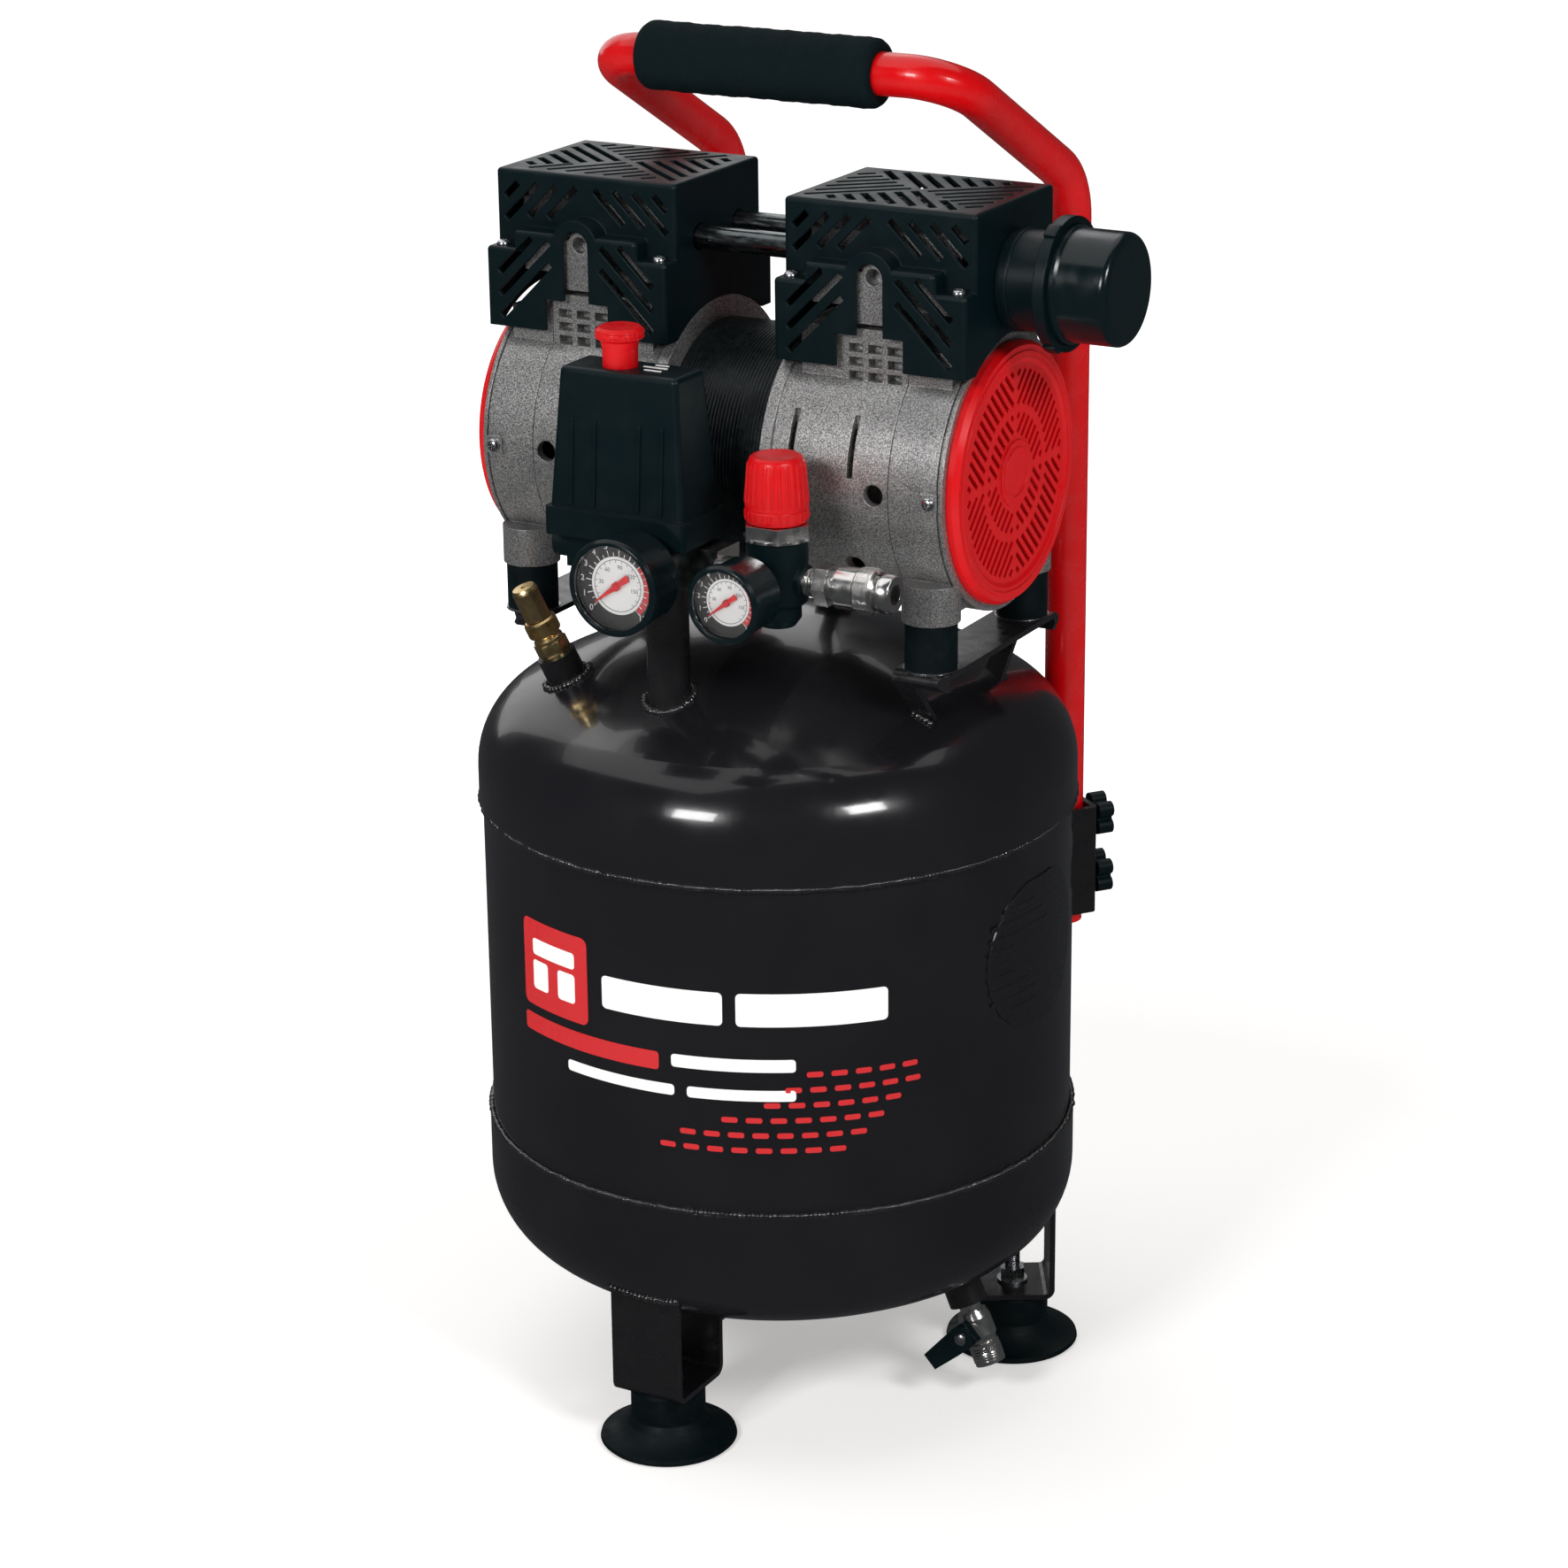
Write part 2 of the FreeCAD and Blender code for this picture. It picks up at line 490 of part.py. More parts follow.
def pump():
    right = crankcase()
    finish("crankcase_right", right)
    finish("crankcase_left", mirror(crankcase()))
    frame = end_frame()
    finish("end_frames", group(frame, mirror(frame)))

    stack = rod("stator_r", "2 * case_in - 0.4", ("0.2 - case_in", 0, "motor_z"), SIDE)
    finish("stator", cut(stack, rod("rotor_r + 0.6", "3 * case_in", ("-1.5 * case_in", 0, "motor_z"), SIDE)))

    shaft = turned([("0", "-126"), ("shaft_r", "-126"), ("shaft_r", "126"), ("0", "126")],
                   (0, 0, "motor_z"), SIDE)
    finish("motor_shaft", shaft)
    core = rod("rotor_r", "2 * case_in - 12", ("6 - case_in", 0, "motor_z"), SIDE)
    finish("rotor", cut(core, rod("shaft_r", 100, (-50, 0, "motor_z"), SIDE)))

    race = [("shaft_r + 0.05", "0"), ("11.95", "0"), ("11.95", "5"), ("shaft_r + 0.05", "5")]
    bearing = turned(race, ("case_in", 0, "motor_z"), SIDE)
    finish("bearings", group(bearing, mirror(bearing)))

    wheels, fans = [], []
    for side in (1, -1):
        start = "cyl_x - 6" if side > 0 else "-cyl_x - 6"
        web = fuse(rod("eccentric_r", 12, (start, 0, f"motor_z - {side} * throw"), SIDE),
                   rod("eccentric_r + 1", 5, (f"{side} * (cyl_x - 12.5) - 2.5", 0, "motor_z"), SIDE))
        wheels.append(cut(web, rod("shaft_r", 60, (f"{side} * cyl_x - 30", 0, "motor_z"), SIDE)))
        centre = f"{side} * fan_x"
        rim = ("fan_wide", (f"{centre} - fan_wide / 2", 0, "motor_z"), SIDE)
        hub = rod("14", *rim)
        blades = []
        for step in range(9):
            lean = Rotation(Vector(1, 0, 0), step * 40).multiply(Rotation(Vector(0, 0, 1), 35))
            far = Rotation(Vector(1, 0, 0), step * 40).multVec(Vector(0, 0, value("fan_r + 12") / 2))
            at = (centre, f"{far.y:.4f}", f"motor_z + ({far.z:.4f})")
            blades.append(bar(at, 2, 16, "fan_r - 12", lean))
        drum = common(fuse(*blades), rod("fan_r", *rim))
        fans.append(cut(fuse(hub, drum), rod("shaft_r", 60, (f"{centre} - 30", 0, "motor_z"), SIDE)))
    finish("eccentrics", group(*wheels))
    finish("fans", group(*fans))

    for label, side in (("piston_right", 1), ("piston_left", -1)):
        level = f"(motor_z - {side} * throw)"
        x = f"{side} * cyl_x"
        ring = rod("eccentric_r + 2 * throw + 5.5", 8, (f"{x} - 4", 0, level), SIDE)
        stem = block((f"{x} - 4", "-7", f"{level} + 20"), (f"{x} + 4", "7", f"{level} + 58"))
        crown = rod("bore_r - 0.4", 5, (x, 0, f"{level} + 58"))
        opening = rod("eccentric_r + 2 * throw + 0.5", 20, (f"{x} - 10", 0, level), SIDE)
        finish(label, cut(fuse(ring, stem, crown), opening))

    sleeves, heads, bolts = [], [], []
    for side in (1, -1):
        x = f"{side} * cyl_x"
        sleeves.append(turned([("bore_r", "neck_top - 48"), ("bore_r + 3", "neck_top - 48"),
                               ("bore_r + 3", "neck_top"), ("bore_r + 9", "neck_top"),
                               ("bore_r + 9", "head_base"), ("bore_r", "head_base")], (x, 0, 0)))
        lump = block((f"{x} - 42", "-36", "head_base"), (f"{x} + 42", "36", "head_top - 8"))
        fins = [block((f"{x} - 40 + {step * 10}", "-34", "head_top - 8"),
                      (f"{x} - 36 + {step * 10}", "34", "head_top")) for step in range(8)]
        post = fuse(block((f"{x} - 9", "-50", "neck_top + 3"), (f"{x} + 9", "-36", "skirt_top - 3.2")),
                    block((f"{x} - 6.7", "-50", "neck_top + 3"), (f"{x} + 6.7", "-36", "arch_z")))
        nose = rod("6.7", 14, (x, -36, "arch_z"), FRONT)
        eye = rod("4.2", 10, (x, -41, "arch_z"), FRONT)
        heads.append(cut(fuse(lump, *fins, post, nose), eye))
        for across in (1, -1):
            for deep in (1, -1):
                bolts.append(rod("4.5", 3.6, (f"{x} + {across} * 36", f"{deep} * 30", "head_top")))
    finish("cylinder_sleeves", group(*sleeves))
    finish("cylinder_heads", group(*heads))
    return bolts


def air_tubes():
    """Two tubes between the heads and the delivery pipe from them down to the receiver."""
    tubes = []
    for y in (-20, 20):
        tubes.append(turned([("4.8", "-43"), ("6.3", "-43"), ("6.3", "43"), ("4.8", "43")],
                            (0, y, "head_base + 23"), SIDE))
    path = [(0, 26.4, "head_base + 23"), (0, 62, "head_base + 23"), (0, 82, 600), (0, 82, 500),
            (0, "inlet_y", 462), (0, "inlet_y", "inlet_foot + 15")]
    tubes.append(bent_tube(path, [18, 30, 40, 40], "4.5", "3"))
    finish("air_tubes", group(*tubes))


def bent_tube(points, radii, outer, inner):
    """A tube along straight runs joined by tangent arcs, from sizes in the sheet."""
    spots = [Vector(*[value(text) for text in point]) for point in points]
    edges, last = [], spots[0]
    for index, radius in enumerate(radii, start=1):
        back = (spots[index - 1] - spots[index]).normalize()
        onward = (spots[index + 1] - spots[index]).normalize()
        half = back.getAngle(onward) / 2
        reach = value(radius) / math.tan(half)
        bisector = (back + onward).normalize()
        middle = spots[index] + bisector * (value(radius) / math.sin(half) - value(radius))
        enter, leave = spots[index] + back * reach, spots[index] + onward * reach
        edges.append(Part.LineSegment(last, enter).toShape())
        edges.append(Part.Arc(enter, middle, leave).toShape())
        last = leave
    edges.append(Part.LineSegment(last, spots[-1]).toShape())
    path = Part.Wire(edges)
    start = (spots[1] - spots[0]).normalize()
    solids = []
    for size in (outer, inner):
        ring = Part.Wire(Part.makeCircle(value(size), spots[0], start))
        solids.append(path.makePipeShell([ring], True, False))
    tube = doc.addObject("Part::Feature", "Tube")
    tube.Shape = solids[0].cut(solids[1])
    return tube


# ---- shrouds, guards and filter ----------------------------------------------------------------------

def shroud():
    """One louvred cover, open below, with a deeper skirt, shoulders and ears in front and behind."""
    w = "shroud_wall"
    above = value("shroud_low") + 1
    shell, room = [], []
    for left, right, deep, top in (
            ("shroud_in", "shroud_out", "shroud_y", "shroud_top"),
            ("shroud_in", "shroud_out", "skirt_y", "ear_top"),
            ("cyl_x - shoulder_half", "cyl_x + shoulder_half", "skirt_y", "skirt_top")):
        solid = block((left, f"-{deep}", "shroud_low"), (right, deep, top))
        shell.append(rounded(solid, "2.2", lambda edge: edge.BoundBox.ZMax > above))
        room.append(block((f"{left} + {w}", f"{w} - {deep}", "shroud_low - 5"),
                          (f"{right} - {w}", f"{deep} - {w}", f"{top} - {w}")))
    shell.append(rod("arch_r", "2 * skirt_y", ("cyl_x", "skirt_y", "arch_z"), FRONT))
    room.append(rod(f"arch_r - {w}", f"2 * (skirt_y - {w})", ("cyl_x", f"skirt_y - {w}", "arch_z"), FRONT))
    tools = [*room, rod("case_r + 3", 120, ("shroud_in - 5", 0, "motor_z"), SIDE)]
    for face in (1, -1):
        y = f"{face} * skirt_y"
        tools.append(block(("cyl_x - notch_half", f"{y} - 14", "shroud_low - 1"),
                           ("cyl_x + notch_half", f"{y} + 14", "arch_z")))
        tools.append(rod("notch_half", 28, ("cyl_x", f"{y} + 14", "arch_z"), FRONT))
        tools.append(block(("cyl_x - 19", f"{y} - 14", "shroud_low - 1"),
                           ("cyl_x + 19", f"{y} + 14", "shroud_low + 16.5")))
        for x in SCREW_X:
            tools.append(rod("1.7", 10, (x, f"{face} * (skirt_y - 5.8)", "ear_top - 5")))
        for x, z, length, lean, deep in LOUVRES:
            plane_y = "shroud_y" if z > 0 else "skirt_y"
            level = f"shroud_top - {z}" if z > 0 else f"skirt_top + {z}"
            for flip in (1, -1):
                turn = FRONT.multiply(Rotation(Vector(0, 0, 1), flip * lean))
                centre = (f"cyl_x - {flip * x}", f"{face} * {plane_y}", level)
                tools.append(bar(centre, length, 3.6, deep, turn))
    middle = Vector((value("shroud_in") + value("shroud_out")) / 2, 0, 0)
    reach = Vector(value("(shroud_out - shroud_in) / 2 - 5"), value("shroud_y - 5"), 0)
    corner = [Vector(reach.x * i, reach.y * j, 0) for i, j in ((-1, -1), (1, -1), (1, 1), (-1, 1))]
    for index in range(4):
        triangle = [Vector(0, 0, 0), corner[index], corner[(index + 1) % 4]]
        slant = math.radians(40 if index % 2 else 130)
        for x, y, length in hatch(triangle, slant, 8.6, 2.2):
            turn = Rotation(Vector(0, 0, 1), math.degrees(slant))
            tools.append(bar((middle.x + x, y, "shroud_top"), length, 4.2, 8, turn))
    return cut(fuse(*shell), *tools)


SCREW_X = (38.2, 131.8)

# Each louvre of half a cover: distance from the middle, depth below the top (or, when negative,
# below the skirt's shoulder), length, lean in degrees and depth of cut.
LOUVRES = ((14, 15.1, 23.6, 44.5, 8), (25.6, 15.2, 24, 44.5, 8), (38.5, 16.4, 27, 44.5, 8),
           (44.4, 10.6, 10.4, 44.5, 8),
           (36, -12.9, 27.2, 44.5, 8), (30.6, -19.4, 42, 44.5, 8), (30.2, -30.9, 42, 44.5, 8))


def covers():
    right = shroud()
    finish("shroud_right", cut(right, rod("filter_base_r - 6", 20, ("shroud_out - 8", 0, "filter_z"), SIDE),
                               *tube_holes()))
    finish("shroud_left", mirror(cut(shroud(), *tube_holes())))

    finish("fan_guards", group(guard(), mirror(guard())))

    screws = []
    for side in (1, -1):
        for end in (1, -1):
            screws.append(turned([("0", "-8"), ("1.9", "-8"), ("1.9", "0.05"), ("3.6", "0.05"),
                                  ("3.6", "1.2"), ("2.2", "2.6"), ("0", "2.9")],
                                 (f"{side} * (case_out - 7)", end * 72.1, "motor_z"), aim(0, end, 0)))
            for inner in SCREW_X:
                screws.append(turned([("0", "-8"), ("1.6", "-8"), ("1.6", "0.1"), ("3.4", "0.1"),
                                      ("3.4", "1.2"), ("2.0", "2.6"), ("0", "2.9")],
                                     (side * inner, f"{end} * (skirt_y - 5.8)", "ear_top")))
    finish("cover_screws", group(*screws))


def tube_holes():
    return [rod("7", 20, ("shroud_in - 5", y, "head_base + 23"), SIDE) for y in (-20, 20)]


def span(radius, field):
    """Angles across one quarter of the guard at a radius, clear of its spokes."""
    edge = math.asin(1.7 / radius)
    quarter = math.pi / 2
    return [field * quarter + edge + step * (quarter - 2 * edge) / 6 for step in range(7)]


def guard():
    """A moulded grille over the cooling fan: a rimmed disc with four fields of straight slots."""
    disc = turned([("0", "0.5"), ("hub_r", "0.5"), ("guard_r - 9", "1"), ("guard_r - 4", "0"),
                   ("guard_r", "-2"),
                   ("guard_r", "1.5"), ("guard_r - 2", "guard_out - guard_in"),
                   ("guard_r - 9", "guard_out - guard_in"), ("guard_r - 11", "guard_out - guard_in - 1.2"),
                   ("hub_r", "guard_out - guard_in - 1.2"), ("hub_r", "guard_out - guard_in - 0.4"),
                   ("0", "guard_out - guard_in - 0.4")], ("guard_in", 0, "motor_z"), SIDE)
    tools = []
    limits = [(value("hub_r") + 1.5, value("guard_r") * 0.47),
              (value("guard_r") * 0.515, value("guard_r") - 13)]
    for field in range(4):
        for near, far in limits:
            rim, root = [[Vector(radius * math.cos(a), radius * math.sin(a), 0) for a in angles]
                         for radius, angles in ((far, span(far, field)), (near, span(near, field)[::-1]))]
            slant = math.radians(field * 90 + 45)
            for y, z, length in hatch(rim + root, slant, 5.2, 0.9):
                turn = SIDE.multiply(Rotation(Vector(0, 0, 1), math.degrees(slant)))
                tools.append(bar(("guard_in + 2", y, f"motor_z + ({z:.4f})"), length, 2.6, 12, turn))
    return cut(disc, *tools)


def intake_filter():
    at = ("0", "0", "filter_z")
    base = turned([("7", "shroud_out + 0.3"), ("filter_base_r", "shroud_out + 0.3"),
                   ("filter_base_r", "shroud_out + 22"), ("filter_collar_r", "shroud_out + 25"),
                   ("filter_collar_r", "shroud_out + 31"), ("filter_cap_r + 1.4", "shroud_out + 31"),
                   ("filter_cap_r + 1.4", "shroud_out + 28"), ("filter_base_r - 3", "shroud_out + 19"),
                   ("filter_base_r - 3", "shroud_out + 3"), ("7", "shroud_out + 3")], at, SIDE)
    finish("filter_base", base)
    pad = turned([("10", "shroud_out + 20"), ("filter_base_r - 4", "shroud_out + 20"),
                  ("filter_base_r - 4", "filter_end - 5"), ("10", "filter_end - 5")], at, SIDE)
    finish("filter_element", pad)
    cap = turned([("0", "filter_end - 2.5"), ("filter_cap_r - 2.6", "filter_end - 2.5"),
                  ("filter_cap_r - 2.6", "shroud_out + 29"), ("filter_cap_r + 1.2", "shroud_out + 29"),
                  ("filter_cap_r + 1.2", "shroud_out + 33.5"), ("filter_cap_r", "shroud_out + 35"),
                  ("filter_cap_r", "filter_end - 4"), ("filter_cap_r - 4", "filter_end", "4", 1),
                  ("0", "filter_end")], at, SIDE)
    finish("filter_cap", cap)


# ---- air controls ----------------------------------------------------------------------------------

def pressure_switch():
    low, top, t = "switch_low", "switch_top", "switch_taper"
    box = doc.addObject("Part::Wedge", "Wedge")
    drive(box, Xmin="0", Xmax="switch_wide - 4", Zmin="0", Zmax="switch_deep - 4", Ymin="0",
          Ymax=f"{top} - {low} - 14", X2min=t, X2max=f"switch_wide - 4 - {t}", Z2min=t,
          Z2max=f"switch_deep - 4 - {t}")
    place(box, ("switch_x - switch_wide / 2 + 2", "switch_y + switch_deep / 2 - 2", f"{low} + 14"), FRONT)
    upper = rounded(box, "3", lambda edge: edge.Length > 20 and edge.BoundBox.ZMax > value(low) + 20)
    flange = block(("switch_x - switch_wide / 2", "switch_y - switch_deep / 2", low),
                   ("switch_x + switch_wide / 2", "switch_y + switch_deep / 2", f"{low} + 14.5"))
    flange = rounded(flange, "2.5", lambda edge: abs(edge.tangentAt(edge.FirstParameter).z) > 0.9)
    room = block(("switch_x - switch_wide / 2 + 9", "switch_y - switch_deep / 2 + 9", f"{low} - 1"),
                 ("switch_x + switch_wide / 2 - 9", "switch_y + switch_deep / 2 - 9", f"{top} - 6"))
    shaft = rod("knob_r - 2.7", 30, ("knob_x", "switch_y", f"{top} - 20"))
    finish("switch_cover", cut(fuse(upper, flange), room, shaft))

    base = block(("switch_x - switch_wide / 2 + 5", "switch_y - switch_deep / 2 + 5", "air_z + 10"),
                 ("switch_x + switch_wide / 2 - 5", "switch_y + switch_deep / 2 - 5", low))
    works = block(("switch_x - switch_wide / 2 + 12", "switch_y - switch_deep / 2 + 12", low),
                  ("switch_x + switch_wide / 2 - 12", "switch_y + switch_deep / 2 - 12", f"{low} + 40"))
    gland_at = ("switch_x - switch_wide / 2 + 10", "switch_y", "air_z + 3")
    gland = rod("8", 14, gland_at, aim(-1, 0, 0))
    socket = block(("switch_x - switch_wide / 2 + 6", "switch_y - 10", "air_z - 7"),
                   ("switch_x - 15", "switch_y + 10", "air_z + 10"))
    finish("switch_base", cut(fuse(base, works, gland, socket), rod("4", 30, gland_at, aim(-1, 0, 0))))

    knob = turned([("0", "-14"), ("knob_r - 3", "-14"), ("knob_r - 3", "9"), ("knob_r - 2.2", "13"),
                   ("knob_r", "14.5"), ("knob_r", "18.5"), ("knob_r - 1.5", "20"), ("0", "20")],
                  ("knob_x", "switch_y", f"{top}"))
    finish("switch_knob", knob)

    cross = block(("riser_x - 12.5", "riser_y - 14", "riser_top"), (28, "riser_y + 8", "air_z + 10"))
    tee = fuse(cross, rod("7.5", "reg_x - reg_r - 26.8", (27, "reg_y", "air_z"), SIDE),
               rod("6", "10", ("big_x", "riser_y - 12", "air_z"), FRONT))
    finish("manifold", tee)


def regulator():
    at = ("reg_x", "reg_y", "0")
    body = turned([("0", "reg_low"), ("9", "reg_low"), ("12", "reg_low + 4"), ("12", "air_z - 14"),
                   ("reg_r", "air_z - 11"), ("reg_r", "reg_nut"), ("4.5", "reg_nut"), ("4.5", "reg_nut - 18"),
                   ("0", "reg_nut - 18")], at)
    ports = [rod("8.5", "coupler_start - reg_x", ("reg_x", "reg_y", "air_z"), SIDE),
             rod("7", "18", ("small_x", "reg_y", "air_z"), FRONT)]
    solid = cut(fuse(body, *ports), rod("4.5", 40, ("reg_x", "reg_y", "reg_nut - 18")))
    finish("regulator_body", solid)
    nut = cut(fuse(hexagon("nut_flats", "reg_knob_low - reg_nut - 0.4", ("reg_x", "reg_y", "reg_nut")),
                   rod("nut_flats / 2 + 1.4", "1.6", ("reg_x", "reg_y", "reg_nut"))),
              rod("4.5", 40, ("reg_x", "reg_y", "reg_nut - 10")))
    finish("bonnet_nut", nut)
    spindle = turned([("0", "reg_nut - 16"), ("4.4", "reg_nut - 16"), ("4.4", "reg_knob_low + 10"),
                      ("3.2", "reg_knob_low + 10"), ("3.2", "reg_knob_top - 8"),
                      ("0", "reg_knob_top - 8")], at)
    finish("regulator_spindle", spindle)
    cap = turned([("3.3", "reg_knob_low + 10.4"), ("5.2", "reg_knob_low + 10.4"), ("5.2", "reg_knob_low"),
                  ("reg_knob_r", "reg_knob_low"), ("reg_knob_r", "reg_knob_low + 8"),
                  ("reg_knob_r - 2.2", "reg_knob_top - 2"), ("reg_knob_r - 5", "reg_knob_top"),
                  ("0", "reg_knob_top"), ("0", "reg_knob_top - 4.5"), ("3.3", "reg_knob_top - 4.5")], at)
    finish("regulator_knob", cap)


def gauge(x, radius, back):
    """A round pressure gauge that faces the front, with a recessed dial."""
    at = (x, "gauge_face + gauge_deep", "air_z")
    rim = radius
    case = turned([("0", "0"), (f"{rim} - 3", "0"), (f"{rim} - 1.4", "2"), (f"{rim} - 1.4", "gauge_deep - 6"),
                   (rim, "gauge_deep - 5"), (rim, "gauge_deep - 1.5"), (f"{rim} - 1.5", "gauge_deep"),
                   (f"{rim} - 3", "gauge_deep"), (f"{rim} - 3", "gauge_deep - 8"), ("0", "gauge_deep - 8")],
                  at, FRONT)
    stem = rod("5", f"{back} - (gauge_face + gauge_deep)", (x, back, "air_z"), FRONT)
    dial = rod(f"{rim} - 3.2", "0.8", (x, "gauge_face + 8", "air_z"), FRONT)
    lens = rod(f"{rim} - 3.2", "1.4", (x, "gauge_face + 2.4", "air_z"), FRONT)
    start = math.radians(217)
    along_needle = Vector(math.cos(start), 0, math.sin(start))
    reach = value(rim) * 0.62
    tail = value(rim) * 0.36
    turn = Rotation(along_needle, Vector(0, -1, 0), Vector(), "XZY")
    middle = along_needle * ((reach - tail) / 2)
    pointer = bar((f"{x} + ({middle.x:.4f})", "gauge_face + 5.4", f"air_z + ({middle.z:.4f})"),
                  reach + tail, f"{rim} * 0.07", "0.6", turn)
    pivot = rod("1.2", "2.2", (x, "gauge_face + 6.9", "air_z"), FRONT)
    return fuse(case, stem), dial, lens, fuse(pointer, pivot)


def gauges():
    big = gauge("big_x", "big_r", "riser_y - 22")
    small = gauge("small_x", "small_r", "reg_y - 18")
    finish("gauge_large_case", big[0])
    finish("gauge_small_case", small[0])
    finish("gauge_dials", group(big[1], small[1]))
    finish("gauge_lenses", group(big[2], small[2]))
    finish("gauge_large_needle", big[3])
    finish("gauge_small_needle", small[3])


def coupler():
    at = ("coupler_start", "reg_y", "air_z")
    run = "(coupler_end - coupler_start)"
    body = turned([("3.5", "0"), ("6.5", "0"), ("6.5", "8"), ("9.5", "8"), ("9.5", "15"), ("7.4", "15"),
                   ("7.4", f"{run} - 8"), ("sleeve_r - 2.6", f"{run} - 6"), ("sleeve_r - 2.6", run),
                   ("plug_r", run), ("plug_r", "22"), ("3.5", "22")], at, SIDE)
    flats = cut(hexagon("19", "7", ("coupler_start + 8", "reg_y", "air_z"), SIDE),
                rod("9", 30, ("coupler_start", "reg_y", "air_z"), SIDE))
    finish("coupler_body", fuse(body, flats))
    low = "15 + sleeve_travel + 0.3"
    sleeve = turned([("7.5", low), ("sleeve_r - 0.8", low), ("sleeve_r - 0.8", "30"), ("sleeve_r", "31"),
                     ("sleeve_r", f"{run} - 10"), ("sleeve_r - 1.2", f"{run} - 8.6"),
                     ("7.5", f"{run} - 8.6")],
                    at, SIDE)
    finish("coupler_sleeve", sleeve)


def safety_valve():
    body = turned([("0", "8"), ("6.3", "8"), ("6.3", "15"), ("8", "15"), ("8", "25"), ("6.6", "26.5"),
                   ("8.6", "28"), ("8.6", "35.5"), ("7.6", "36.5"), ("2.2", "36.5"), ("2.2", "20"),
                   ("0", "20")],
                  VALVE_FOOT, VALVE_TURN)
    finish("safety_valve_body", body)
    cap = turned([("0", "21"), ("1.6", "21"), ("1.6", "37"), ("6.9", "37"), ("6.9", "54"), ("6", "55.5"),
                  ("1.3", "55.5"), ("1.3", "52"), ("0", "52")], VALVE_FOOT, VALVE_TURN)
    finish("safety_valve_cap", cap)


def drain_valve():
    """A small ball valve under the tank, turned by a plastic lever on its side."""
    side = Vector(*DRAIN_AXIS).cross(Vector(0, 1, 0)).normalize()
    outward = side.cross(Vector(*DRAIN_AXIS)).normalize()
    if outward.y > 0:
        outward = outward * -1
    look = (outward.x, outward.y, outward.z)
    body = turned([("3.2", "9"), ("6", "9"), ("6", "20"), ("7.8", "20"), ("9", "24"), ("9", "34"),
                   ("7.4", "38"),
                   ("8.4", "38"), ("8.4", "50"), ("3.5", "50"), ("3.5", "38"), ("6.2", "34"), ("6.2", "24"),
                   ("3.2", "20")], DRAIN_FOOT, DRAIN_TURN)
    centre = along(DRAIN_FOOT, DRAIN_AXIS, 29)
    nose = rod("5.4", "13.5", centre, aim(*look))
    stem_way = rod("2.6", "20", centre, aim(*look))
    finish("drain_valve_body", cut(fuse(body, nose), stem_way,
                                   rod("6.2", "11.4", back_along(centre, DRAIN_AXIS, 5.7), DRAIN_TURN)))
    ball = doc.addObject("Part::Sphere", "Ball")
    drive(ball, Radius="6")
    place(ball, centre)
    stem = rod("2.4", "16", centre, aim(*look))
    ball = cut(fuse(ball, stem), rod("2.6", "20", back_along(centre, DRAIN_AXIS, 10), DRAIN_TURN))
    lever_turn = aim(*look)
    down = lever_turn.inverted().multVec(Vector(*DRAIN_AXIS))
    angle = math.degrees(math.atan2(down.y, down.x)) - 70
    blade = plate([("-7", "-6.5"), ("8", "-6.5"), ("27", "-5"), ("27", "5"), ("8", "6.5"), ("-7", "6.5")],
                  4.5, along(centre, look, 14), lever_turn.multiply(Rotation(Vector(0, 0, 1), angle)))
    collar = rod("7", "6", along(centre, look, 14), lever_turn)
    finish("drain_lever", cut(fuse(ball, blade, collar), rod("1.2", 8, along(centre, look, 16), lever_turn)))


# ---- handle ------------------------------------------------------------------------------------------

def handle():
    points = [("tube_x", "tube_y", "tube_low"), ("tube_x", "tube_y", "bend_z"), ("bar_x", "bar_y", "bar_z"),
              ("-bar_x", "bar_y", "bar_z"), ("-tube_x", "tube_y", "bend_z"),
              ("-tube_x", "tube_y", "tube_low")]
    tube = bent_tube(points, ["elbow_r", "corner_r", "corner_r", "elbow_r"], "tube_r", "tube_r - tube_wall")
    finish("handle_tube", tube)
    half = "grip_length / 2"
    foam = turned([("tube_r", f"-({half})"), ("grip_r - 4", f"-({half})"), ("grip_r", f"4 - {half}", "4", 1),
                   ("grip_r", f"{half} - 4"), ("grip_r - 4", half, "4", 1), ("tube_r", half)],
                  ("grip_shift", "bar_y", "bar_z"), SIDE)
    finish("foam_grip", foam)

    clamps = []
    for side in (1, -1):
        out = Vector(side * value("tube_x"), value("tube_y"), 0).normalize()
        turn = Rotation(Vector(0, 0, 1), math.degrees(math.atan2(out.y, out.x)))
        inner = value("tube_r") + 0.4
        reach = value("sqrt(tube_x^2 + tube_y^2)")
        face = value("tank_r - tank_wall")
        top = reach + inner
        strap = plate([(face - 1, -inner - 3), (top, -inner - 3), (top + 3, -inner, "3", 1), (top + 3, inner),
                       (top, inner + 3, "3", 1), (face - 1, inner + 3), (face - 1, inner), (top, inner),
                       (top, -inner), (face - 1, -inner)],
                      "clamp_high - clamp_low", (0, 0, "clamp_low"), turn)
        holes = [rod("3.2", 40, (f"{out.x * reach:.4f}", f"{out.y * reach:.4f}", level), aim(out.x, out.y, 0))
                 for level in ("star_high", "star_low")]
        core = rod("tank_r - tank_wall", 100, (0, 0, "clamp_low - 20"))
        clamps.append(cut(strap, core, *holes))
        for name, level in (("upper", "star_high"), ("lower", "star_low")):
            finish(f"star_knob_{name}_{'right' if side > 0 else 'left'}", star_knob(out, reach, level))
    finish("handle_clamps", group(*clamps))


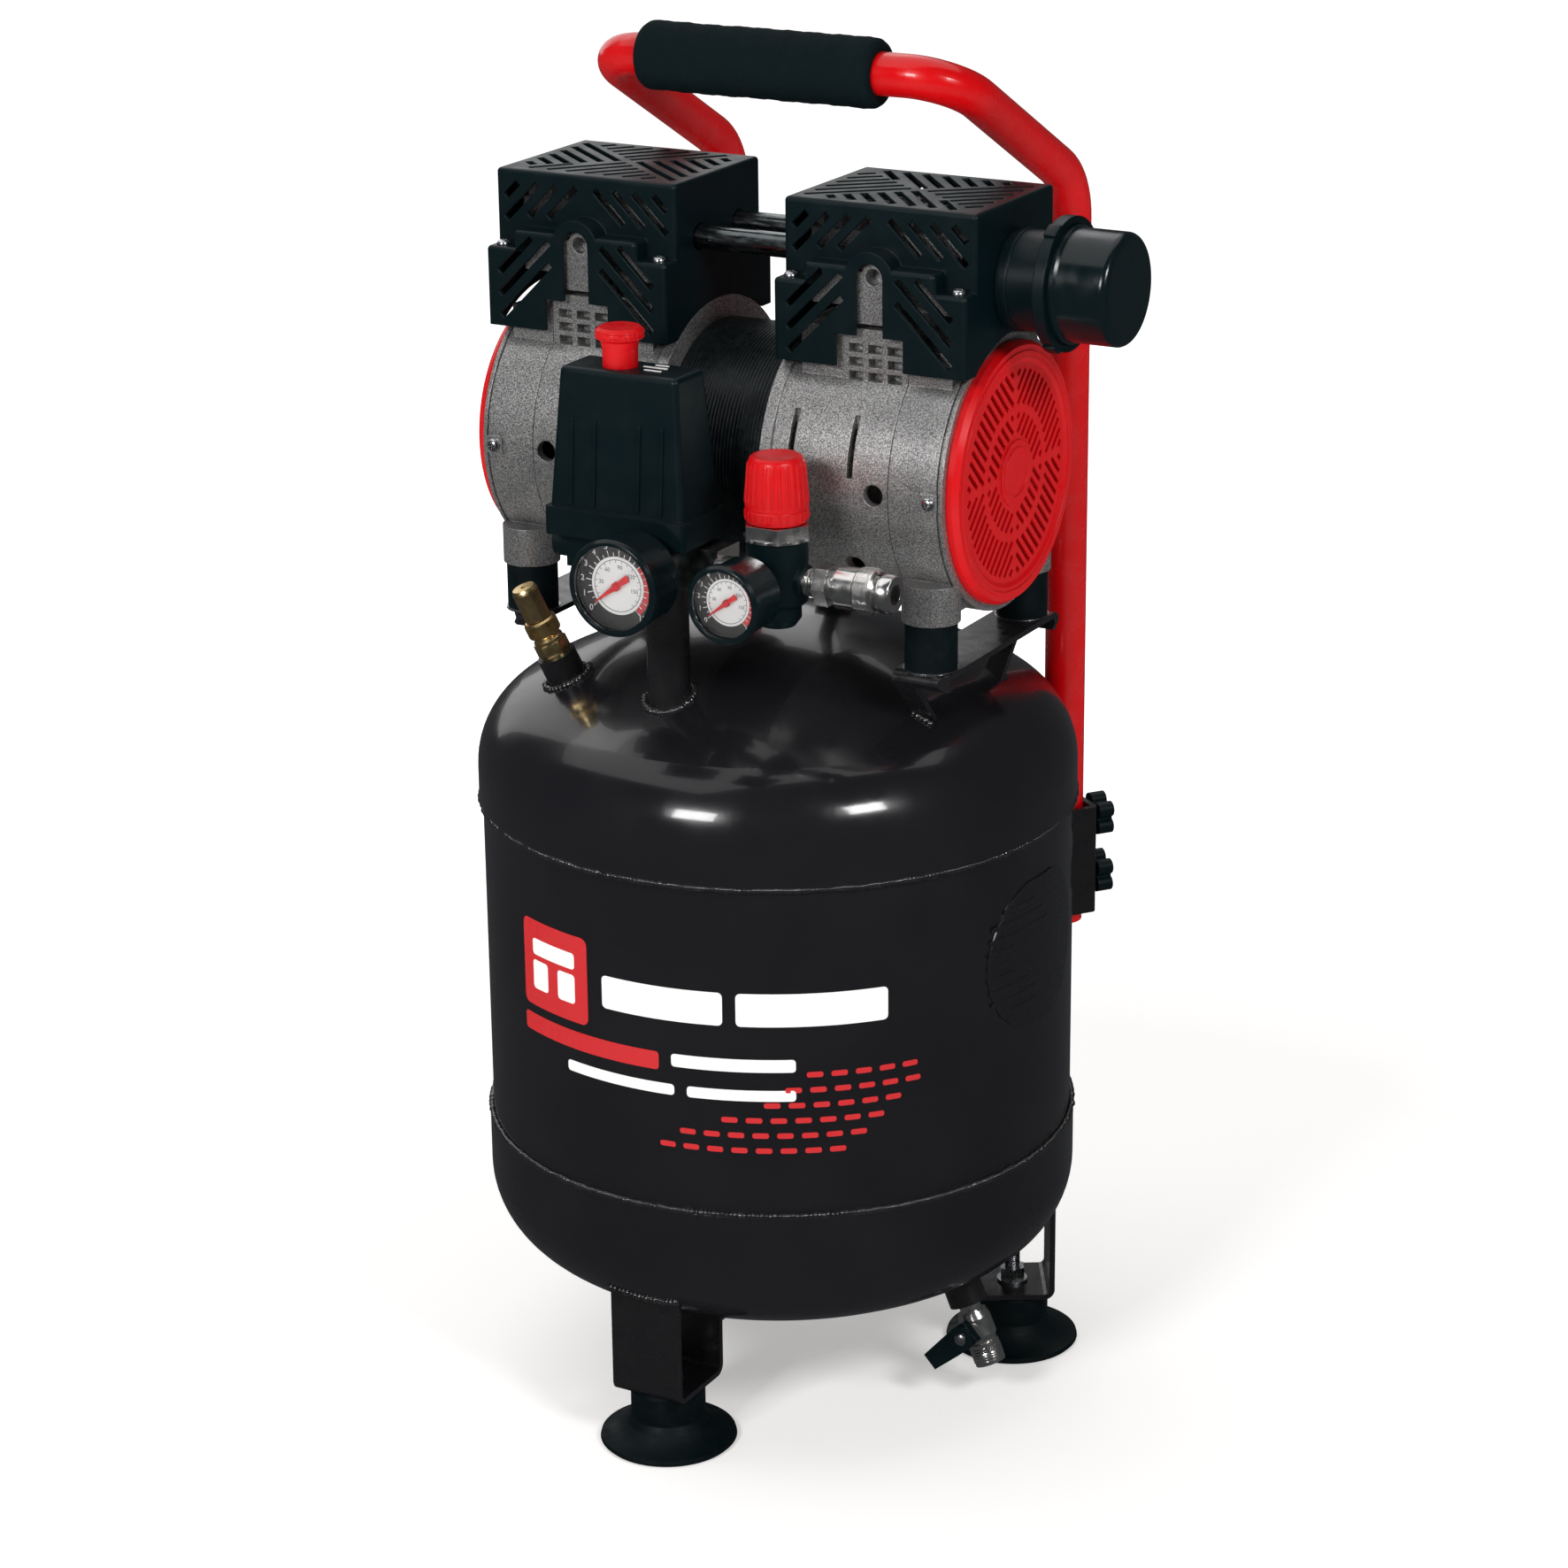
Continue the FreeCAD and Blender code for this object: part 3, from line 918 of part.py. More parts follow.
def star_knob(out, reach, level):
    """A clamping screw with a moulded five-lobed head."""
    tip = value("tube_r") + 0.35
    turn = aim(out.x, out.y, 0)
    at = (f"{out.x * (reach + tip):.4f}", f"{out.y * (reach + tip):.4f}", level)
    screw = rod("3", "14", at, turn)
    head = (f"{out.x * (reach + tip + 6):.4f}", f"{out.y * (reach + tip + 6):.4f}", level)
    lobes = [rod("8", "9", head, turn), rod("5.5", "3", back_along(head, out, 1.5), turn)]
    for step in range(5):
        angle = math.radians(step * 72)
        shift = turn.multVec(Vector(8.2 * math.cos(angle), 8.2 * math.sin(angle), 0))
        at_lobe = tuple(f"({text}) + ({move:.4f})" for text, move in zip(head, shift))
        lobes.append(rod("4.3", "9", at_lobe, turn))
    return fuse(screw, *lobes)


# ---- build, check and write ---------------------------------------------------------------------------

receiver()
legs_and_feet()
mount_bolts = rails_and_mounts()
head_bolts = pump()
finish("pump_bolts", group(*mount_bolts, *head_bolts))
air_tubes()
covers()
intake_filter()
pressure_switch()
regulator()
gauges()
coupler()
safety_valve()
drain_valve()
handle()

doc.recompute()
faults = [item.Label for item in doc.Objects if "Invalid" in item.State or "Error" in item.State]
faults += [piece.Label for piece in PIECES
           if piece.Shape.isNull() or not piece.Shape.isValid() or not piece.Shape.Solids]
if faults:
    raise RuntimeError(f"these did not build: {faults}")

os.makedirs("parts", exist_ok=True)
for piece in PIECES:
    piece.Shape.exportStep(f"parts/{piece.Label}.step")

whole = FreeCAD.BoundBox()
for piece in PIECES:
    whole.add(piece.Shape.optimalBoundingBox(False, False))
print(f"{len(PIECES)} pieces, box X {whole.XMin:.2f} to {whole.XMax:.2f},"
      f" Y {whole.YMin:.2f} to {whole.YMax:.2f}, Z {whole.ZMin:.2f} to {whole.ZMax:.2f}")
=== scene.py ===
"""Looks for the twin stack compressor: finishes for every part, fine detail, light and camera."""
import math

import bmesh
import bpy
from mathutils import Matrix, Vector, noise


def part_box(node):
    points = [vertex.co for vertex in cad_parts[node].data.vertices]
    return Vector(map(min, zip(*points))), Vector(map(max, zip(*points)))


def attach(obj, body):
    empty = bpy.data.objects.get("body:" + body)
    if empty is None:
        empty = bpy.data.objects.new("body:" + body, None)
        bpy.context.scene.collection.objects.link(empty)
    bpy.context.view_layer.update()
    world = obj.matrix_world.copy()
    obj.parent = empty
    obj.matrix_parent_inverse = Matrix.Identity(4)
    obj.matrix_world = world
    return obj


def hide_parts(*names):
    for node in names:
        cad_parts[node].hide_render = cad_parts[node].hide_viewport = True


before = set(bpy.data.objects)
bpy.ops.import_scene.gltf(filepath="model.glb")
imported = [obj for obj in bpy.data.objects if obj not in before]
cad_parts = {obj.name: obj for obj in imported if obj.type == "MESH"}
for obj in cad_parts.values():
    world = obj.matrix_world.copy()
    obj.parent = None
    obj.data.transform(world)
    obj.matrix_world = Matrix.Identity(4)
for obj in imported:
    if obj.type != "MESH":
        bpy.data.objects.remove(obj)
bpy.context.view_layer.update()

MM = 0.001
X, Y, Z = Vector((1, 0, 0)), Vector((0, 1, 0)), Vector((0, 0, 1))
SHELL_LOW, SHELL_HIGH = (Vector(corner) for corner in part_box("tank_shell"))
AXIS = Vector(((SHELL_LOW.x + SHELL_HIGH.x) / 2, (SHELL_LOW.y + SHELL_HIGH.y) / 2, 0))


# ---- places ----

def spot(x, y, z):
    """A place given in millimetres from the tank axis and the floor."""
    return AXIS + Vector((x, y, z)) * MM


def unit(degrees):
    """A direction in X and Y."""
    return math.cos(math.radians(degrees)), math.sin(math.radians(degrees))


def shift(x=0, y=0, z=0):
    """A move by millimetres."""
    return Matrix.Translation(Vector((x, y, z)) * MM)


def facing(origin, axis, up=Z):
    """The matrix that stands a piece's own +Z along an axis and its own +Y near an up direction."""
    axis = Vector(axis).normalized()
    side = Vector(up).cross(axis)
    side = side.normalized() if side.length > 1e-4 else axis.orthogonal().normalized()
    upward = axis.cross(side)
    turn = Matrix((side, upward, axis)).transposed().to_4x4()
    return Matrix.Translation(origin) @ turn


# ---- camera, light and floor ----

AZIMUTH, ELEVATION, ROLL = 29.292, 19.423, -0.629  # degrees; azimuth from the front towards +X
FOCAL_MM, SENSOR_MM, DISTANCE = 95.09, 36, 2.2192
FLOOR_HALF, FLOOR_Z = 6, -0.0002


def camera():
    azimuth, elevation, roll = (math.radians(angle) for angle in (AZIMUTH, ELEVATION, ROLL))
    target = spot(2.63, 1.48, 330.8)
    back = Vector((math.sin(azimuth) * math.cos(elevation), -math.cos(azimuth) * math.cos(elevation),
                   math.sin(elevation)))
    right = Vector((math.cos(azimuth), math.sin(azimuth), 0))
    up = back.cross(right)
    level = Matrix((right * math.cos(roll) + up * math.sin(roll),
                    up * math.cos(roll) - right * math.sin(roll), back)).transposed()
    lens = bpy.data.cameras.new("camera")
    lens.sensor_width = SENSOR_MM
    lens.lens = FOCAL_MM
    lens.clip_end = 50
    thing = bpy.data.objects.new("camera", lens)
    thing.matrix_world = Matrix.Translation(target + back * DISTANCE) @ level.to_4x4()
    bpy.context.collection.objects.link(thing)
    bpy.context.scene.camera = thing


def soft_box(name, place, aim_at, size, power, mirrored=True):
    lamp = bpy.data.lights.new(name, "AREA")
    lamp.shape = "RECTANGLE"
    lamp.size, lamp.size_y = size
    lamp.energy = power
    thing = bpy.data.objects.new(name, lamp)
    thing.matrix_world = facing(place, place - aim_at)
    thing.visible_glossy = mirrored
    bpy.context.collection.objects.link(thing)


def studio():
    """Two small soft boxes in front and wide ones above, behind and on the left, over a white floor."""
    heart = spot(0, 0, 400)
    soft_box("key_box", spot(-110, -2000, 1400), heart, (0.55, 0.4), 22)
    soft_box("side_box", spot(1750, -830, 1650), heart, (0.55, 0.4), 20)
    soft_box("top_box", spot(-500, 300, 2300), heart, (3.2, 2.4), 24)
    soft_box("back_box", spot(-1500, 1300, 1500), heart, (2.0, 2.2), 13)
    soft_box("left_box", spot(-1900, -700, 900), heart, (1.6, 2.4), 7, mirrored=False)
    world = bpy.data.worlds.new("studio")
    bpy.context.scene.world = world
    world.use_nodes = True
    tree = world.node_tree
    tree.nodes.clear()
    dim = tree.nodes.new("ShaderNodeBackground")
    dim.inputs["Color"].default_value = (0.55, 0.57, 0.6, 1)
    dim.inputs["Strength"].default_value = 0.085
    bright = tree.nodes.new("ShaderNodeBackground")
    bright.inputs["Color"].default_value = (1, 1, 1, 1)
    path = tree.nodes.new("ShaderNodeLightPath")
    mix = tree.nodes.new("ShaderNodeMixShader")
    out = tree.nodes.new("ShaderNodeOutputWorld")
    wire(tree, (path, "Is Camera Ray", mix, 0), (dim, 0, mix, 1), (bright, 0, mix, 2), (mix, 0, out, 0))
    bpy.context.scene.view_settings.view_transform = "Standard"

    mesh = bpy.data.meshes.new("floor")
    mesh.from_pydata([(x * FLOOR_HALF, y * FLOOR_HALF, FLOOR_Z)
                      for x, y in ((-1, -1), (1, -1), (1, 1), (-1, 1))], [], [(0, 1, 2, 3)])
    floor = bpy.data.objects.new("floor", mesh)
    bpy.context.collection.objects.link(floor)
    paper = Finish("studio_floor", (0.9, 0.885, 0.87), 0.85, Specular_IOR_Level=0.1)
    away = paper.add("ShaderNodeVectorMath", operation="LENGTH")
    paper.join(paper.coords, away.inputs[0])
    # Painted light: the floor glows by itself, at 0.4 near the middle rising to full strength 1.4 m out, so
    # it turns white where the lamps' light falls off.
    painted_glow = paper.remap(away.outputs["Value"], 0.5, 1.4, 0.4, 1.0)
    paper.feed(paper.shader, Emission_Color=(1, 0.99, 0.975, 1), Emission_Strength=painted_glow)
    mesh.materials.append(paper.material)
    floor.visible_glossy = False


# ---- finishes ----

class Finish:
    """A procedural material on object coordinates, built up layer by layer."""

    def __init__(self, name, colour, roughness, metallic=0.0, **sockets):
        self.material = bpy.data.materials.new(name)
        self.material.use_nodes = True
        self.material.diffuse_color = (*colour, 1)
        self.tree = self.material.node_tree
        self.tree.nodes.clear()
        self.shader = self.add("ShaderNodeBsdfPrincipled")
        self.feed(self.shader, Base_Color=(*colour, 1), Roughness=roughness, Metallic=metallic, **sockets)
        self.feed(self.add("ShaderNodeOutputMaterial"), Surface=self.shader.outputs[0])
        self.coords = self.add("ShaderNodeTexCoord").outputs["Object"]
        self.colour = (*colour, 1)
        self.normal = None

    def add(self, kind, **settings):
        node = self.tree.nodes.new(kind)
        for name, setting in settings.items():
            setattr(node, name, setting)
        return node

    def join(self, given, socket):
        """Link a socket, or set a number or a colour on it."""
        if isinstance(given, bpy.types.NodeSocket):
            self.tree.links.new(given, socket)
        else:
            socket.default_value = given

    def feed(self, node, **sockets):
        """Link or set a node's inputs by name; _ stands for a space."""
        for name, given in sockets.items():
            self.join(given, node.inputs[name.replace("_", " ")])
        return node

    def noise(self, grain_mm, detail=3.0, sharp=0.5, scale=None, turn=(0, 0, 0)):
        where = self.coords
        if scale:
            stretch = self.feed(self.add("ShaderNodeMapping"), Vector=where, Scale=scale, Rotation=turn)
            where = stretch.outputs[0]
        node = self.feed(self.add("ShaderNodeTexNoise"), Vector=where, Scale=1 / (grain_mm * MM),
                         Detail=detail, Roughness=sharp)
        return node.outputs["Fac"]

    def remap(self, fac, low_in, high_in, low_out, high_out):
        node = self.feed(self.add("ShaderNodeMapRange"), Value=fac, From_Min=low_in, From_Max=high_in,
                         To_Min=low_out, To_Max=high_out)
        return node.outputs[0]

    def tint(self, fac, colour):
        """Mix the colour so far towards another where fac is high."""
        node = self.add("ShaderNodeMix", data_type="RGBA")
        for given, socket in ((fac, 0), (self.colour, 6), ((*colour, 1), 7)):
            self.join(given, node.inputs[socket])
        self.colour = node.outputs[2]
        self.feed(self.shader, Base_Color=self.colour)

    def bump(self, height, depth_mm):
        node = self.feed(self.add("ShaderNodeBump"), Height=height, Distance=depth_mm * MM, Strength=1.0)
        if self.normal:
            self.feed(node, Normal=self.normal)
        self.normal = node.outputs[0]
        self.feed(self.shader, Normal=self.normal)

    # The layers that the table below lists by name.

    def edges(self, radius_mm):
        """Ease every sharp edge; returns a mask that is high on edges."""
        bevel = self.feed(self.add("ShaderNodeBevel", samples=4), Radius=radius_mm * MM)
        dot = self.add("ShaderNodeVectorMath", operation="DOT_PRODUCT")
        self.normal = bevel.outputs[0]
        self.join(self.normal, dot.inputs[0])
        self.join(self.add("ShaderNodeNewGeometry").outputs["Normal"], dot.inputs[1])
        self.feed(self.shader, Normal=self.normal)
        return self.remap(dot.outputs["Value"], 0.98, 0.8, 0.0, 1.0)

    def rub(self, radius_mm, colour, grain_mm, amount):
        """Bare or rubbed edges: the edge mask broken up by a fine noise."""
        broken = self.add("ShaderNodeMath", operation="MULTIPLY")
        self.join(self.edges(radius_mm), broken.inputs[0])
        self.join(self.remap(self.noise(grain_mm), 0.45, 0.62, 0.0, amount), broken.inputs[1])
        self.tint(broken.outputs[0], colour)

    def mottle(self, grain_mm, detail, low, high, amount, colour, sharp=0.5, scale=None, turn=(0, 0, 0)):
        """Patches of another colour where a noise rises from low to high."""
        self.tint(self.remap(self.noise(grain_mm, detail, sharp, scale, turn), low, high, 0, amount), colour)

    def gloss(self, grain_mm, detail, low_rough, high_rough, scale=None):
        """Let roughness wander between two values."""
        wander = self.noise(grain_mm, detail, scale=scale)
        self.feed(self.shader, Roughness=self.remap(wander, 0.3, 0.7, low_rough, high_rough))

    def grain(self, grain_mm, detail, depth_mm, scale=None):
        """A fine relief."""
        self.bump(self.noise(grain_mm, detail, scale=scale), depth_mm)

    def pores(self, grain_mm, low, high, amount, colour, depth_mm):
        """Small round cells, tinted and in relief."""
        cells = self.feed(self.add("ShaderNodeTexVoronoi"), Vector=self.coords, Scale=1 / (grain_mm * MM))
        self.tint(self.remap(cells.outputs["Distance"], low, high, 0, amount), colour)
        self.bump(cells.outputs["Distance"], depth_mm)

    def coat_bump(self):
        """Let the clear coat follow the relief under it."""
        self.feed(self.shader, Coat_Normal=self.normal)


def ink(name, colour):
    """Screen-printed ink, slightly uneven."""
    return (name, colour, 0.42, 0, {},
            (("mottle", 1.5, 4, 0.5, 0.8, 0.4, tuple(part * 0.86 for part in colour)),
             ("gloss", 3, 3, 0.3, 0.5), ("grain", 0.3, 2, 0.003)))


# Each finish: its material's name, colour, roughness, metallic, more shader inputs and its layers in order.
FINISHES = {
    "enamel": ("black_enamel", (0.0088, 0.0082, 0.0102), 0.2, 0,
               {"Coat_Weight": 0.35, "Coat_Roughness": 0.05, "Specular_IOR_Level": 0.35},
               (("rub", 0.5, (0.03, 0.03, 0.033), 1.2, 0.8),
                ("mottle", 60, 2, 0.4, 0.7, 0.5, (0.0125, 0.0122, 0.0135)), ("gloss", 25, 4, 0.14, 0.26),
                ("grain", 2.6, 2, 0.012), ("grain", 55, 1, 0.25), ("coat_bump",))),
    "sheet": ("enamelled_sheet", (0.008, 0.0078, 0.009), 0.3, 0,
              {"Coat_Weight": 0.3, "Coat_Roughness": 0.12},
              (("rub", 0.4, (0.05, 0.05, 0.052), 0.9, 0.9), ("gloss", 9, 4, 0.2, 0.42),
               ("grain", 1.1, 3, 0.02))),
    "weld": ("painted_weld", (0.01, 0.0098, 0.011), 0.1, 0, {"Coat_Weight": 1.0, "Coat_Roughness": 0.04},
             (("mottle", 3, 2, 0.45, 0.7, 1, (0.02, 0.019, 0.02)), ("grain", 1.2, 3, 0.08),
              ("coat_bump",))),
    # Speckled silver-grey paint on die-cast alloy, lighter where the casting's edges are rubbed.
    "alloy": ("hammered_alloy", (0.21, 0.205, 0.205), 0.42, 0.75, {},
              (("mottle", 0.75, 2, 0.42, 0.6, 1, (0.6, 0.595, 0.585), 0.7),
               ("mottle", 0.55, 1, 0.55, 0.68, 0.8, (0.045, 0.045, 0.048), 0.6, (1, 1, 1), (0.7, 0.4, 0.2)),
               ("mottle", 38, 3, 0.45, 0.7, 0.35, (0.13, 0.13, 0.135)),
               ("rub", 0.7, (0.66, 0.65, 0.63), 1.5, 0.9), ("gloss", 0.8, 2, 0.3, 0.55),
               ("grain", 0.8, 2, 0.09))),
    "satin": ("satin_moulding", (0.0012, 0.0066, 0.0085), 0.42, 0, {"Specular_IOR_Level": 0.22},
              (("rub", 0.9, (0.007, 0.017, 0.02), 2.0, 0.8),
               ("mottle", 30, 3, 0.45, 0.75, 0.5, (0.002, 0.0082, 0.0102)), ("gloss", 14, 4, 0.3, 0.44),
               ("grain", 0.35, 2, 0.012))),
    "gloss": ("gloss_moulding", (0.0022, 0.007, 0.0085), 0.22, 0, {"Specular_IOR_Level": 0.4},
              (("rub", 0.5, (0.012, 0.018, 0.02), 1.5, 0.6), ("gloss", 10, 3, 0.14, 0.28),
               ("grain", 0.5, 2, 0.006))),
    "rubber": ("moulded_rubber", (0.0009, 0.0048, 0.0062), 0.55, 0, {"Specular_IOR_Level": 0.18},
               (("edges", 0.6), ("mottle", 6, 4, 0.5, 0.8, 0.5, (0.006, 0.012, 0.0135)),
                ("gloss", 8, 4, 0.42, 0.66), ("grain", 0.5, 3, 0.03))),
    "foam": ("closed_cell_foam", (0.001, 0.0048, 0.0062), 0.88, 0, {"Specular_IOR_Level": 0.08},
             (("pores", 0.55, 0.1, 0.55, 0.8, (0.0045, 0.0105, 0.0125), 0.16),
              ("mottle", 14, 3, 0.5, 0.75, 0.3, (0.006, 0.012, 0.0135)), ("grain", 5, 3, 0.22))),
    "red_paint": ("red_powder_coat", (0.62, 0.002, 0.004), 0.28, 0,
                  {"Coat_Weight": 0.3, "Coat_Roughness": 0.1, "Specular_IOR_Level": 0.3},
                  (("edges", 0.4), ("mottle", 70, 2, 0.4, 0.7, 0.5, (0.54, 0.003, 0.005)),
                   ("gloss", 12, 4, 0.19, 0.33), ("grain", 2.2, 2, 0.016), ("coat_bump",))),
    "red": ("red_moulding", (0.62, 0.002, 0.005), 0.36, 0,
            {"Subsurface_Weight": 0.06, "Subsurface_Scale": 0.002, "Specular_IOR_Level": 0.3},
            (("rub", 0.5, (0.75, 0.03, 0.025), 2.0, 0.6),
             ("mottle", 25, 3, 0.45, 0.7, 0.5, (0.55, 0.003, 0.006)), ("gloss", 9, 4, 0.27, 0.42),
             ("grain", 0.45, 2, 0.01))),
    "zinc": ("zinc_plate", (0.62, 0.63, 0.65), 0.22, 1, {},
             (("rub", 0.25, (0.85, 0.86, 0.88), 1.0, 0.8),
              ("mottle", 1.6, 4, 0.5, 0.8, 0.6, (0.4, 0.41, 0.44)), ("gloss", 1.2, 4, 0.14, 0.36),
              ("grain", 0.6, 3, 0.02))),
    "steel": ("machined_steel", (0.5, 0.5, 0.51), 0.3, 1, {},
              (("edges", 0.2), ("mottle", 4, 4, 0.5, 0.75, 0.5, (0.33, 0.33, 0.34)),
               ("gloss", 0.6, 2, 0.2, 0.42, (0.05, 1, 1)), ("grain", 0.4, 2, 0.008, (0.05, 1, 1)))),
    "stack": ("varnished_stack", (0.003, 0.006, 0.007), 0.34, 0, {"Specular_IOR_Level": 0.3},
              (("mottle", 5, 4, 0.5, 0.72, 0.7, (0.012, 0.016, 0.017)), ("gloss", 3, 4, 0.25, 0.5),
               ("grain", 0.9, 3, 0.06))),
    "dark_chrome": ("dark_chrome", (0.16, 0.175, 0.18), 0.16, 1, {},
                    (("mottle", 2.2, 5, 0.5, 0.7, 0.8, (0.07, 0.08, 0.082), 0.5, (0.3, 1, 1)),
                     ("gloss", 1.5, 4, 0.1, 0.34, (0.2, 1, 1)), ("grain", 1.0, 4, 0.02))),
    "nickel": ("bright_nickel", (0.86, 0.85, 0.83), 0.2, 1, {},
               (("edges", 0.25), ("mottle", 6, 2, 0.5, 0.75, 0.35, (0.66, 0.65, 0.625)),
                ("gloss", 5, 2, 0.15, 0.27), ("grain", 2.5, 2, 0.006))),
    "brass": ("turned_brass", (0.85, 0.62, 0.3), 0.3, 1, {},
              (("rub", 0.2, (0.85, 0.66, 0.36), 0.7, 0.8),
               ("mottle", 6, 3, 0.5, 0.75, 0.6, (0.6, 0.41, 0.17)), ("gloss", 4, 3, 0.22, 0.38),
               ("grain", 0.5, 3, 0.02))),
    "dial": ("dial_black", (0.012, 0.012, 0.012), 0.6, 0, {},
             (("gloss", 2, 3, 0.5, 0.7), ("grain", 0.3, 2, 0.004))),
    "lens": ("clear_lens", (1, 1, 1), 0.03, 0,
             {"Transmission_Weight": 1.0, "IOR": 1.3, "Specular_IOR_Level": 0.35},
             (("gloss", 12, 3, 0.01, 0.05),)),
    "felt": ("filter_felt", (0.66, 0.65, 0.6), 0.95, 0, {"Sheen_Weight": 0.3},
             (("mottle", 1.2, 5, 0.4, 0.7, 0.7, (0.48, 0.47, 0.43)), ("grain", 0.6, 5, 0.4))),
    "white_ink": ink("white_ink", (0.93, 0.93, 0.92)),
    "red_ink": ink("red_ink", (0.62, 0.01, 0.014)),
    "grey_ink": ink("grey_ink", (0.16, 0.16, 0.165)),
}

# Which finish each designed part wears.
WEARS = {
    "enamel": ("tank_shell", "tank_top_head", "tank_bottom_head"),
    "sheet": ("riser_pipe", "fitting_bosses", "data_plate", "leg_brackets", "pump_rails", "handle_clamps"),
    "rubber": ("rubber_feet", "rubber_mounts"),
    "zinc": ("foot_bolts", "pump_bolts", "cover_screws"),
    "alloy": ("crankcase_right", "crankcase_left", "end_frames", "cylinder_heads"),
    "stack": ("stator", "rotor"),
    "steel": ("motor_shaft", "bearings", "eccentrics", "piston_right", "piston_left", "cylinder_sleeves",
              "regulator_spindle"),
    "satin": ("shroud_right", "shroud_left", "fans", "filter_base", "switch_cover", "switch_base",
              "regulator_body", "drain_lever", "star_knob_upper_right", "star_knob_lower_right",
              "star_knob_upper_left", "star_knob_lower_left"),
    "gloss": ("filter_cap", "gauge_large_case", "gauge_small_case"),
    "dark_chrome": ("air_tubes",),
    "red": ("fan_guards", "switch_knob", "regulator_knob", "gauge_large_needle", "gauge_small_needle"),
    "nickel": ("manifold", "bonnet_nut", "coupler_body", "coupler_sleeve", "drain_valve_body"),
    "brass": ("safety_valve_body", "safety_valve_cap"),
    "dial": ("gauge_dials",), "lens": ("gauge_lenses",), "felt": ("filter_element",),
    "foam": ("foam_grip",), "red_paint": ("handle_tube",),
}
MADE = {}


def finish_of(key):
    """The material of a finish, made the first time it is asked for."""
    if key not in MADE:
        name, colour, roughness, metallic, sockets, layers = FINISHES[key]
        finish = Finish(name, colour, roughness, metallic, **sockets)
        for layer, *given in layers:
            getattr(finish, layer)(*given)
        MADE[key] = finish.material
    return MADE[key]


def dress_parts():
    """Give every designed part its finish."""
    for name, nodes in WEARS.items():
        for node in nodes:
            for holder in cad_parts[node].material_slots:
                holder.material = finish_of(name)


# ---- making pieces ----

def piece(name, mesh, finish, body="receiver", matrix=None, smooth=40, replaces=()):
    """Place a mesh, give it its finish, and let it ride on a body."""
    if matrix:
        mesh.transform(matrix)
    if smooth:
        mesh.shade_smooth()
        mesh.set_sharp_from_angle(angle=math.radians(smooth))
    if not mesh.materials or not mesh.materials[0]:
        mesh.materials.clear()
        mesh.materials.append(finish_of(finish))
    mesh.name = name
    thing = bpy.data.objects.new(name, mesh)
    bpy.context.collection.objects.link(thing)
    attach(thing, body)
    if replaces:
        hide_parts(*replaces)
    return thing


def mesh_of(builder):
    """Turn a bmesh into a mesh with outward faces."""
    bmesh.ops.remove_doubles(builder, verts=builder.verts, dist=1e-7)
    bmesh.ops.recalc_face_normals(builder, faces=builder.faces)
    mesh = bpy.data.meshes.new("made")
    builder.to_mesh(mesh)
    builder.free()
    return mesh


def eased(mesh, width_mm):
    """The same mesh with its sharp edges bevelled."""
    thing = bpy.data.objects.new("eased", mesh)
    bpy.context.collection.objects.link(thing)
    tool = thing.modifiers.new("bevel", "BEVEL")
    tool.width = width_mm * MM
    tool.segments = 2
    tool.angle_limit = math.radians(35)
    return settled(thing)


def settled(thing):
    """Apply an object's modifiers, drop the object and return the plain mesh."""
    graph = bpy.context.evaluated_depsgraph_get()
    mesh = bpy.data.meshes.new_from_object(thing.evaluated_get(graph))
    thing.modifiers.clear()
    bpy.data.objects.remove(thing)
    return mesh


def lathe(profile, segments=72):
    """A turned shape about +Z: profile points are (radius, height) in millimetres, closed on the axis."""
    builder = bmesh.new()
    rings = []
    for radius, height in profile:
        if radius < 1e-6:
            rings.append([builder.verts.new((0, 0, height * MM))])
            continue
        rings.append([builder.verts.new((radius * MM * math.cos(step * math.tau / segments),
                                         radius * MM * math.sin(step * math.tau / segments), height * MM))
                      for step in range(segments)])
    closed = profile[0][0] > 1e-6
    pairs = list(zip(rings, rings[1:])) + ([(rings[-1], rings[0])] if closed else [])
    for first, second in pairs:
        for step in range(segments):
            after = (step + 1) % segments
            corners = [first[step % len(first)], first[after % len(first)], second[after % len(second)],
                       second[step % len(second)]]
            corners = list(dict.fromkeys(corners))
            if len(corners) > 2:
                builder.faces.new(corners)
    return mesh_of(builder)


def slab(outline, low_mm, high_mm):
    """A prism from an outline in X and Y, in millimetres."""
    builder = bmesh.new()
    face = builder.faces.new([builder.verts.new((x * MM, y * MM, low_mm * MM)) for x, y in outline])
    grown = bmesh.ops.extrude_face_region(builder, geom=[face])
    top = [item for item in grown["geom"] if isinstance(item, bmesh.types.BMVert)]
    bmesh.ops.translate(builder, verts=top, vec=(0, 0, (high_mm - low_mm) * MM))
    return mesh_of(builder)


def arc(radius, start, end, count, centre=(0, 0)):
    """Points along an arc, angles in degrees."""
    turns = [unit(start + (end - start) * step / (count - 1)) for step in range(count)]
    return [(centre[0] + radius * across, centre[1] + radius * up) for across, up in turns]


def sector(inner, outer, start, end, count=24):
    return arc(outer, start, end, count) + arc(inner, end, start, count)


def round_box(width, height, radius, count=5):
    """A rectangle's outline with round corners."""
    points = []
    for turn, (i, j) in enumerate(((1, 1), (-1, 1), (-1, -1), (1, -1))):
        centre = (i * (width / 2 - radius), j * (height / 2 - radius))
        points += arc(radius, turn * 90, turn * 90 + 90, count, centre)
    return points


def joined(meshes):
    """Several meshes as one, in the same place."""
    builder = bmesh.new()
    for mesh in meshes:
        builder.from_mesh(mesh)
    whole = bpy.data.meshes.new("joined")
    builder.to_mesh(whole)
    builder.free()
    return whole


def moved(mesh, matrix):
    mesh.transform(matrix)
    return mesh


# ---- geometry node trees ----

